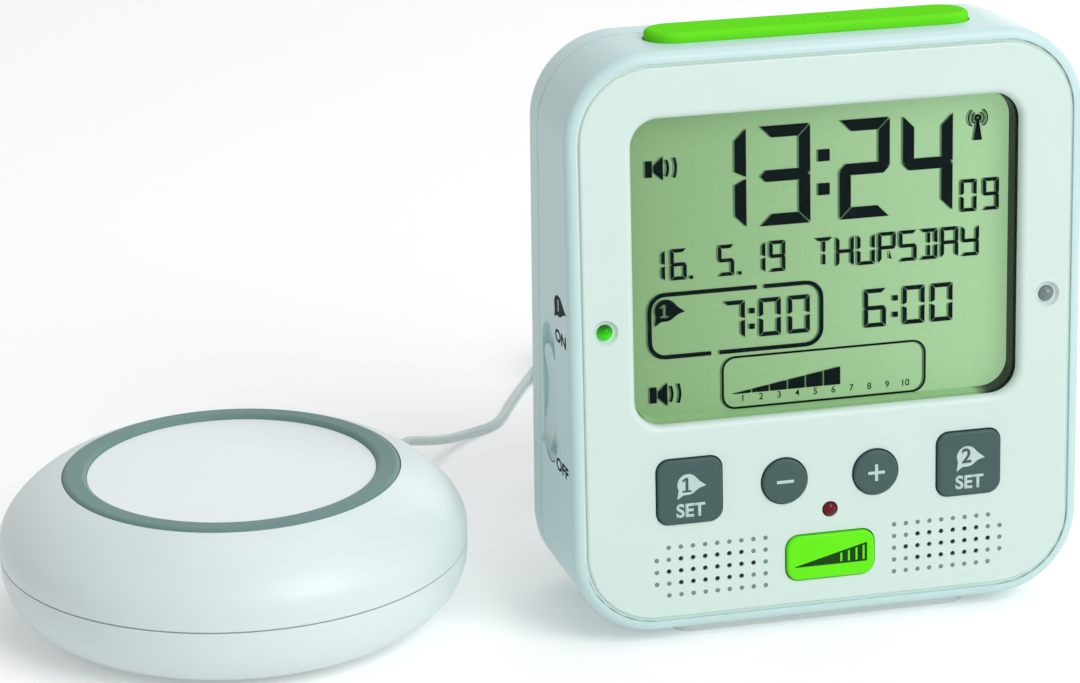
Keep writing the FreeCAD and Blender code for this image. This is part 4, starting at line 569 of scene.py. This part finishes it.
# outlines of a segmented cell, a to g, and the extra strokes of a letter cell
def segmentShapes(width, height, line, gap):
    middle, inner = height / 2, line / 2
    right = [(width, height - gap), (width, middle + gap), (width - line, middle + inner + gap),
             (width - line, height - line - gap)]
    flipX = lambda points: [(width - x, y) for x, y in points]
    flipY = lambda points: [(x, height - y) for x, y in points]
    top = [(gap, height), (width - gap, height), (width - line - gap, height - line),
           (line + gap, height - line)]
    centre, slim = width / 2, line * letterStroke["halfShare"]
    stem = [(centre - slim, height - line - gap), (centre + slim, height - line - gap),
            (centre + slim, middle + inner + gap), (centre, middle + gap),
            (centre - slim, middle + inner + gap)]
    start, end = line + gap, centre - slim - gap / 2
    slant = [(start, height - line - gap),
             (start + letterStroke["slantTop"] * slim, height - line - gap),
             (end, middle + inner + gap + letterStroke["slantFoot"] * slim),
             (end, middle + inner + gap)]
    return {
        "a": top, "d": flipY(top), "b": right, "c": flipY(right), "f": flipX(right),
        "e": flipX(flipY(right)),
        "g": [(gap, middle), (inner + gap, middle + inner), (width - inner - gap, middle + inner),
              (width - gap, middle), (width - inner - gap, middle - inner),
              (inner + gap, middle - inner)],
        "i": stem, "l": flipY(stem), "n": flipX(flipY(slant)),
    }


# a row of such cells, one for each letter of the text
def cellRow(text, lefts, low, width, height, line, gap):
    shapes = segmentShapes(width, height, line, gap)
    return [moved(shapes[key], left, low)
            for letter, left in zip(text, lefts) for key in segmentsOf[letter]]


# what the display shows, in millimetres across and up the face
displayRows = {
    "time": {"text": "1324", "lefts": (-25.3, -12.2, 4.2, 17.3),
             "low": 79.7, "width": 10.4, "height": 20.0, "line": 2.35, "gap": 0.16},
    "seconds": {"text": "09", "lefts": (29.4, 34.1),
                "low": 79.2, "width": 3.4, "height": 6.6, "line": 0.72, "gap": 0.1},
    "date": {"text": "16519", "lefts": (-34.9, -30.5, -20.8, -14.4, -10.3),
             "low": 70.3, "width": 3.3, "height": 6.3, "line": 0.72, "gap": 0.1},
    "weekday": {"text": "THURSDAY", "lefts": tuple(-0.9 + 4.37 * step for step in range(8)),
                "low": 70.1, "width": 3.7, "height": 6.3, "line": 0.72, "gap": 0.1},
    "firstAlarm": {"text": "700", "lefts": (-19.9, -12.5, -6.5),
                   "low": 57.3, "width": 4.5, "height": 7.8, "line": 0.86, "gap": 0.12},
    "secondAlarm": {"text": "600", "lefts": (9.3, 17.4, 23.3),
                    "low": 57.1, "width": 4.6, "height": 7.9, "line": 0.86, "gap": 0.12},
}
displayDots = ((-0.2, 2.2, 91.8, 94.2), (-0.2, 2.2, 85.0, 87.4), (-26.6, -25.9, 70.3, 71.0),
               (-16.7, -16.0, 70.3, 71.0), (-14.5, -13.4, 59.0, 60.1), (-14.5, -13.4, 62.2, 63.3),
               (15.3, 16.4, 58.8, 59.9), (15.3, 16.4, 62.2, 63.3))
displayFrames = ({"left": -34.9, "right": 0.4, "low": 54.8, "high": 67.5, "corner": 3.2,
                  "width": 0.85, "gaps": ((True, -12.9, -11.4), (False, -22.4, -20.7))},
                 {"left": -20.1, "right": 22.1, "low": 43.0, "high": 53.5, "corner": 2.6,
                  "width": 0.42})
displaySigns = {"speakers": ((-32.0, 92.9), (-31.8, 47.2)), "tower": (32.9, 96.6),
                "bell": (-31.6, 64.1), "bellSize": 2.25, "one": (-31.9, 64.2), "oneSize": 1.3}
displayScale = {"left": -16.0, "pitch": 3.77, "level": 44.9, "count": 10, "size": 1.9, "bold": 0.01}
loudnessBar = {"left": -17.8, "pitch": 3.74, "cell": 3.4, "steps": 6, "low": 45.9, "start": 0.15,
               "rise": 0.6, "riseShare": 0.92}
speakerMark = [bar(-3.3, -1.9, -1.65, 1.65), [(-1.7, 0.6), (-1.7, -0.6), (0.3, -2.45), (0.3, 2.45)]]
speakerMark += bowBand(-2.6, 0, 3.9, 0.52, -25, 25) + bowBand(-2.4, 0, 5.3, 0.52, -22, 22)
towerMark = [[(-0.9, -3.0), (0.9, -3.0), (0.25, 1.0), (-0.25, 1.0)]]
towerMark += bowBand(0, 1.5, 0.5, 0.5, 0, 360, 10)
for radius, half in ((1.25, 60), (2.0, 55)):
    towerMark += bowBand(0, 1.5, radius, 0.28, -half, half)
    towerMark += bowBand(0, 1.5, radius, 0.28, 180 - half, 180 + half)


# a tilted bell: a round body, a foot at its lower left and a point at its right
def bellOutline(size, stretch=1.0):
    outline = arcPoints(0, 0.1, 1.0, 38, 208, 14) + [(-0.94, -0.72), (-1.02, -1.3), (-0.45, -0.92)]
    outline += arcPoints(0, 0.1, 1.0, 262, 318, 6) + [(1.1, -0.32), (1.75, -0.12), (1.12, 0.36)]
    return [(x * size * stretch, y * size) for x, y in outline]


# the outlines of a sign or number, centred on zero, in millimetres
def textMesh(text, size, bold=0.0):
    curve = bpy.data.curves.new("sign", "FONT")
    curve.body, curve.size, curve.offset = text, size, bold
    curve.align_x, curve.align_y = "CENTER", "CENTER"
    holder = bpy.data.objects.new("sign", curve)
    scene.collection.objects.link(holder)
    bpy.context.view_layer.update()
    graph = bpy.context.evaluated_depsgraph_get()
    mesh = bpy.data.meshes.new_from_object(holder.evaluated_get(graph))
    bpy.data.objects.remove(holder)
    bpy.data.curves.remove(curve)
    return mesh


signMerge = 0.0005  # doubles closer than this share of the letter's size are merged


# printed numbers and words, each (text, x, y, size, bold), as one thin piece
def signs(name, words, place, front, back, finish, body, stretch=1.0):
    shape = bmesh.new()
    for text, x, y, size, bold in words:
        mesh = textMesh(text, size, bold)
        part = bmesh.new()
        part.from_mesh(mesh)
        bmesh.ops.remove_doubles(part, verts=part.verts, dist=size * signMerge)
        for vert in part.verts:
            vert.co = place(x + vert.co.x * stretch, y + vert.co.y, back)
        part.to_mesh(mesh)
        part.free()
        shape.from_mesh(mesh)
        bpy.data.meshes.remove(mesh)
    thicken(shape, place, front, back)
    addPiece(name, shape, finish, body)


oneMark = [bar(-0.2, 0.2, -0.74, 1.0), [(-0.2, 1.0), (-0.62, 0.7), (-0.62, 0.4), (-0.2, 0.64)],
           bar(-0.62, 0.62, -1.0, -0.74)]

# how far the display's marks and their soft shade lie behind the face
displayPlane = {"front": 6.33, "back": 6.39, "shadeFront": 6.37, "shadeBack": 6.395,
                "shadeShift": (-0.42, 0.05), "over": 0.02}


def drawDisplay():
    shapes = []
    for row in displayRows.values():
        shapes += cellRow(**row)
    shapes += [bar(*dot) for dot in displayDots]
    for step in range(loudnessBar["steps"]):
        left = loudnessBar["left"] + step * loudnessBar["pitch"]
        right = left + loudnessBar["cell"]
        low = loudnessBar["low"]
        first = low + loudnessBar["start"] + step * loudnessBar["rise"]
        last = first + loudnessBar["rise"] * loudnessBar["riseShare"]
        shapes.append([(left, low), (right, low), (right, last), (left, first)])
    for band in displayFrames:
        shapes += frameBand(**band)
    for spot in displaySigns["speakers"]:
        shapes += [moved(part, *spot) for part in speakerMark]
    shapes += [moved(part, *displaySigns["tower"]) for part in towerMark]
    shapes.append(moved(bellOutline(displaySigns["bellSize"]), *displaySigns["bell"]))
    front, back = displayPlane["front"], displayPlane["back"]
    inlay("displayMarks", shapes, facePoint, front, back, "segmentInk", "base")
    shift = displayPlane["shadeShift"]
    inlay("displayMarksShade", [moved(shape, *shift) for shape in shapes], facePoint,
          displayPlane["shadeFront"], displayPlane["shadeBack"], "segmentShade", "base")
    words = [(str(step + 1), displayScale["left"] + displayScale["pitch"] * step,
              displayScale["level"], displayScale["size"], displayScale["bold"])
             for step in range(displayScale["count"])]
    signs("displayNumbers", words, facePoint, front, back, "segmentInk", "base")
    one = [moved(part, *displaySigns["one"], displaySigns["oneSize"]) for part in oneMark]
    inlay("displayBellNumber", one, facePoint, front - displayPlane["over"], front,
          "segmentShade", "base")


drawDisplay()
print("display drawn")

# the print on the keys: its level, and how far it stands out and sinks in
keyPrint = {"level": -0.8, "rise": 0.03, "sink": 0.02, "over": 0.02}
setKeys = {"side": 29.1, "bell": (-0.5, 30.3), "bellSize": 2.15, "one": (-0.7, 30.4),
           "oneSize": 1.5, "two": (-0.6, 30.5), "twoSize": 4.2, "twoBold": 0.1,
           "word": (0, 25.0), "wordSize": 3.8, "wordBold": 0.12}
roundKeys = {"side": 9.5, "level": 29.0, "reach": 1.75, "stroke": 0.31}


def drawKeyMarks():
    front, back = keyPrint["level"] - keyPrint["rise"], keyPrint["level"] + keyPrint["sink"]
    over = front - keyPrint["over"]
    for side, number in ((-1, "1"), (1, "2")):
        spots = {mark: (side * setKeys["side"] + setKeys[mark][0], setKeys[mark][1])
                 for mark in ("bell", "one", "two", "word")}
        key, name = "set_" + number, "set" + number
        bell = moved(bellOutline(setKeys["bellSize"]), *spots["bell"])
        inlay(name + "Bell", [bell], facePoint, front, back, "palePrint", key)
        if number == "1":
            one = [moved(part, *spots["one"], setKeys["oneSize"]) for part in oneMark]
            inlay("set1Number", one, facePoint, over, front, "greyKey", key)
        else:
            two = (number, *spots["two"], setKeys["twoSize"], setKeys["twoBold"])
            signs("set2Number", [two], facePoint, over, front, "greyKey", key)
        word = ("SET", *spots["word"], setKeys["wordSize"], setKeys["wordBold"])
        signs(name + "Word", [word], facePoint, front, back, "palePrint", key)
    across, level, reach, line = (roundKeys[key] for key in ("side", "level", "reach", "stroke"))
    minus = [bar(-across - reach, -across + reach, level - line, level + line)]
    plus = [bar(across - reach, across + reach, level - line, level + line),
            bar(across - line, across + line, level + line, level + reach),
            bar(across - line, across + line, level - reach, level - line)]
    inlay("minusMark", minus, facePoint, front, back, "palePrint", "minus")
    inlay("plusMark", plus, facePoint, front, back, "palePrint", "plus")


# the loudness wedge on the level key, with open slots at its high end
levelMark = {"left": -7.6, "right": 7.5, "low": 10.7, "start": 0.15, "rise": 3.8,
             "slots": (2.1, 3.7, 5.3, 6.8), "slot": 0.44, "edge": 0.4}


def drawLevelMark():
    front, back = keyPrint["level"] - keyPrint["rise"], keyPrint["level"] + keyPrint["sink"]
    left, right, low, edge = (levelMark[key] for key in ("left", "right", "low", "edge"))
    top = lambda x: low + levelMark["start"] + levelMark["rise"] * (x - left) / (right - left)
    half = levelMark["slot"] / 2
    marks = [left] + [x + side * half for x in levelMark["slots"] for side in (-1, 1)] + [right]
    parts = [[(a, low), (b, low), (b, top(b)), (a, top(a))]
             for a, b in zip(marks[::2], marks[1::2])]
    for a, b in zip(marks[1:-1:2], marks[2::2]):
        parts.append(bar(a, b, low, low + edge))
        parts.append([(a, top(a) - edge), (b, top(b) - edge), (b, top(b)), (a, top(a))])
    inlay("levelMark", parts, facePoint, front, back, "darkGreen", "level")


grille = {"inner": 13.5, "top": 17.45, "pitch": 2.5, "radius": 0.48, "sides": 12, "columns": 10,
          "open": {0: (), 1: range(2, 8), 2: range(1, 9), 3: range(2, 8), 4: ()},
          "shortRows": (0, 4), "dimple": (-0.015, 0.03), "holeShade": (0.4, 0.7)}


# grey discs of painted shade in the blind dimples round each grille, and dark discs of painted
# shade, in the speakers' black, set inside its open holes
def drawGrilles():
    blind, through = [], []
    for side in (-1, 1):
        for row, openColumns in grille["open"].items():
            for column in range(grille["columns"] - (row in grille["shortRows"])):
                x = side * (grille["inner"] + column * grille["pitch"])
                y = grille["top"] - row * grille["pitch"]
                spot = arcPoints(x, y, grille["radius"], 0, 360, grille["sides"])[:-1]
                (through if column in openColumns else blind).append(spot)
    inlay("grilleDimples", blind, facePoint, *grille["dimple"], "dimpleShade", "base")
    # painted shade: a dark disc inside each open hole
    inlay("grilleHoleShade", through, facePoint, *grille["holeShade"], "speakerBasket", "base")


# the marks by the sliders; the shifts of the bell and its number aren't mirrored
sideMarks = {"rise": 0.03, "sink": 0.02, "over": 0.02, "bell": (7.4, 66.4), "bellShift": -0.8,
             "bellSize": 2.1, "number": (7.4, 66.6), "numberShift": -0.9, "numberSize": 3.4,
             "on": (7.0, 60.2), "off": (8.2, 33.2), "word": 3.4, "bold": 0.1, "stretch": 1.65}


def drawSideMarks():
    front, back, stretch = sideMarks["rise"], -sideMarks["sink"], sideMarks["stretch"]
    for name, number, place, way in (("left", "1", leftSidePoint, -1),
                                     ("right", "2", rightSidePoint, 1)):
        def along(x, y, w, place=place, way=way):
            return place(x * way, y, w)

        spots = {}
        for mark in ("bell", "number", "on", "off"):
            x, y = sideMarks[mark]
            spots[mark] = (x * way + sideMarks.get(mark + "Shift", 0), y)
        words = [(mark.upper(), *spots[mark], sideMarks["word"], sideMarks["bold"])
                 for mark in ("on", "off")]
        signs(name + "SideWords", words, along, front, back, "greyPrint", "base", stretch)
        bell = moved(bellOutline(sideMarks["bellSize"], stretch), *spots["bell"])
        inlay(name + "SideBell", [bell], along, front, back, "greyPrint", "base")
        signs(name + "SideNumber", [(number, *spots["number"], sideMarks["numberSize"], 0.0)],
              along, front + sideMarks["over"], front, "caseShell", "base", stretch)


panelSeat = {"gapMiddle": 0.35, "gap": 0.62, "inset": 2.8, "corner": 14.2,
             "front": 0.55, "back": 1.3}


# the shallow floor of the groove between the front panel and the rim
def fillPanelSeat():
    inset = panelSeat["inset"] - panelSeat["gapMiddle"]
    reach, high = clockCase["halfWidth"] - inset, clockCase["height"] - inset
    corner = panelSeat["corner"] + panelSeat["gapMiddle"]
    parts = frameBand(-reach, reach, inset, high, corner, panelSeat["gap"])
    inlay("panelSeat", parts, facePoint, panelSeat["front"], panelSeat["back"], "paleFace", "base")


fillPanelSeat()
drawKeyMarks()
drawLevelMark()
drawGrilles()
drawSideMarks()
print("marks drawn")

barDots = {"spread": 4.6, "count": 3, "radius": 0.55, "height": 0.26, "across": 13.7,
           "level": 119.0, "segments": 16, "rings": 8}


# small raised dots to find the snooze bar by touch
def addBarDots():
    shape = bmesh.new()
    lean = Matrix.Rotation(-clockStand["lean"], 3, "X")
    for step in range(barDots["count"]):
        x = (step - (barDots["count"] - 1) / 2) * barDots["spread"]
        place = facePoint(x, barDots["level"], barDots["across"])
        verts = bmesh.ops.create_uvsphere(
            shape, u_segments=barDots["segments"], v_segments=barDots["rings"],
            radius=barDots["radius"] * millimetre)["verts"]
        bmesh.ops.scale(shape, verts=verts, vec=(1, 1, barDots["height"] / barDots["radius"]))
        bmesh.ops.rotate(shape, verts=verts, cent=(0, 0, 0), matrix=lean)
        bmesh.ops.translate(shape, verts=verts, vec=place)
    for face in shape.faces:
        face.smooth = True
    piece = addPiece("snoozeDots", shape, "snoozeGreen", "snooze")


addBarDots()

floorLook = {"color": (250, 250, 250), "rough": 0.9, "size": 6.0, "glow": 0.22, "farGlow": 0.72,
             "near": 0.7, "far": 2.6, "bounce": 0.5}
lampAim = Vector((0, 0, 0.05))
lampSetup = {
    "key": {"place": (0.75, -1.3, 1.25), "size": 1.1, "power": 20.4},
    "top": {"place": (0.3, 0.3, 1.65), "size": 1.4, "power": 6.9},
    "back": {"place": (1.3, 1.5, 0.7), "size": 1.4, "power": 5.0},
}
worldLight = {"strength": 0.325}


# a pale floor that glows in full to the camera and by half to the object
def addFloor():
    mesh = bpy.data.meshes.new("floor")
    shape = bmesh.new()
    bmesh.ops.create_grid(shape, x_segments=1, y_segments=1, size=floorLook["size"])
    shape.to_mesh(mesh)
    shape.free()
    material, nodes, links, shader = startMaterial("paleFloor")
    shader.inputs["Base Color"].default_value = linear(*floorLook["color"])
    shader.inputs["Roughness"].default_value = floorLook["rough"]
    shader.inputs["Emission Color"].default_value = linear(*floorLook["color"])
    paths = newNode(nodes, "ShaderNodeLightPath", (-500, 200))
    where = newNode(nodes, "ShaderNodeTexCoord", (-900, -100))
    distance = nodes.new("ShaderNodeVectorMath")
    distance.operation = "LENGTH"
    whiter = newNode(nodes, "ShaderNodeMapRange", (-500, -100))
    for key, value in (("From Min", "near"), ("From Max", "far"),
                       ("To Min", "glow"), ("To Max", "farGlow")):
        whiter.inputs[key].default_value = floorLook[value]
    seen = nodes.new("ShaderNodeMath")
    seen.operation = "MULTIPLY"
    links.new(where.outputs["Object"], distance.inputs[0])
    links.new(distance.outputs["Value"], whiter.inputs["Value"])
    share = newNode(nodes, "ShaderNodeMapRange", (-500, -360))
    share.inputs["To Min"].default_value = floorLook["bounce"]
    links.new(whiter.outputs["Result"], seen.inputs[0])
    links.new(paths.outputs["Is Camera Ray"], share.inputs["Value"])
    links.new(share.outputs["Result"], seen.inputs[1])
    links.new(seen.outputs["Value"], shader.inputs["Emission Strength"])
    mesh.materials.append(material)
    floor = bpy.data.objects.new("floor", mesh)
    scene.collection.objects.link(floor)


# three area lamps, and a world that is dim for the object and white behind it
def addLights():
    for name, lamp in lampSetup.items():
        data = bpy.data.lights.new(name, "AREA")
        data.energy, data.size = lamp["power"], lamp["size"]
        light = bpy.data.objects.new(name, data)
        place = Vector(lamp["place"])
        turn = (lampAim - place).to_track_quat("-Z", "Y").to_matrix().to_4x4()
        light.matrix_world = Matrix.Translation(place) @ turn
        scene.collection.objects.link(light)
    world = bpy.data.worlds.new("studio")
    world.use_nodes = True
    scene.world = world
    nodes, links = world.node_tree.nodes, world.node_tree.links
    soft = nodes["Background"]
    soft.inputs["Color"].default_value = (1, 1, 1, 1)
    soft.inputs["Strength"].default_value = worldLight["strength"]
    white = newNode(nodes, "ShaderNodeBackground", (0, -200), Color=(1, 1, 1, 1), Strength=1.0)
    paths = newNode(nodes, "ShaderNodeLightPath", (-300, 300))
    seen = nodes.new("ShaderNodeMath")
    seen.operation = "MAXIMUM"
    clearly = nodes.new("ShaderNodeMath")
    clearly.operation = "MAXIMUM"
    choose = newNode(nodes, "ShaderNodeMixShader", (300, 0))
    links.new(paths.outputs["Is Camera Ray"], seen.inputs[0])
    links.new(paths.outputs["Is Transmission Ray"], seen.inputs[1])
    links.new(seen.outputs["Value"], clearly.inputs[0])
    links.new(paths.outputs["Is Glossy Ray"], clearly.inputs[1])
    links.new(clearly.outputs["Value"], choose.inputs["Fac"])
    links.new(soft.outputs["Background"], choose.inputs[1])
    links.new(white.outputs["Background"], choose.inputs[2])
    links.new(choose.outputs["Shader"], nodes["World Output"].inputs["Surface"])


addFloor()
addLights()
print("floor and lights added")
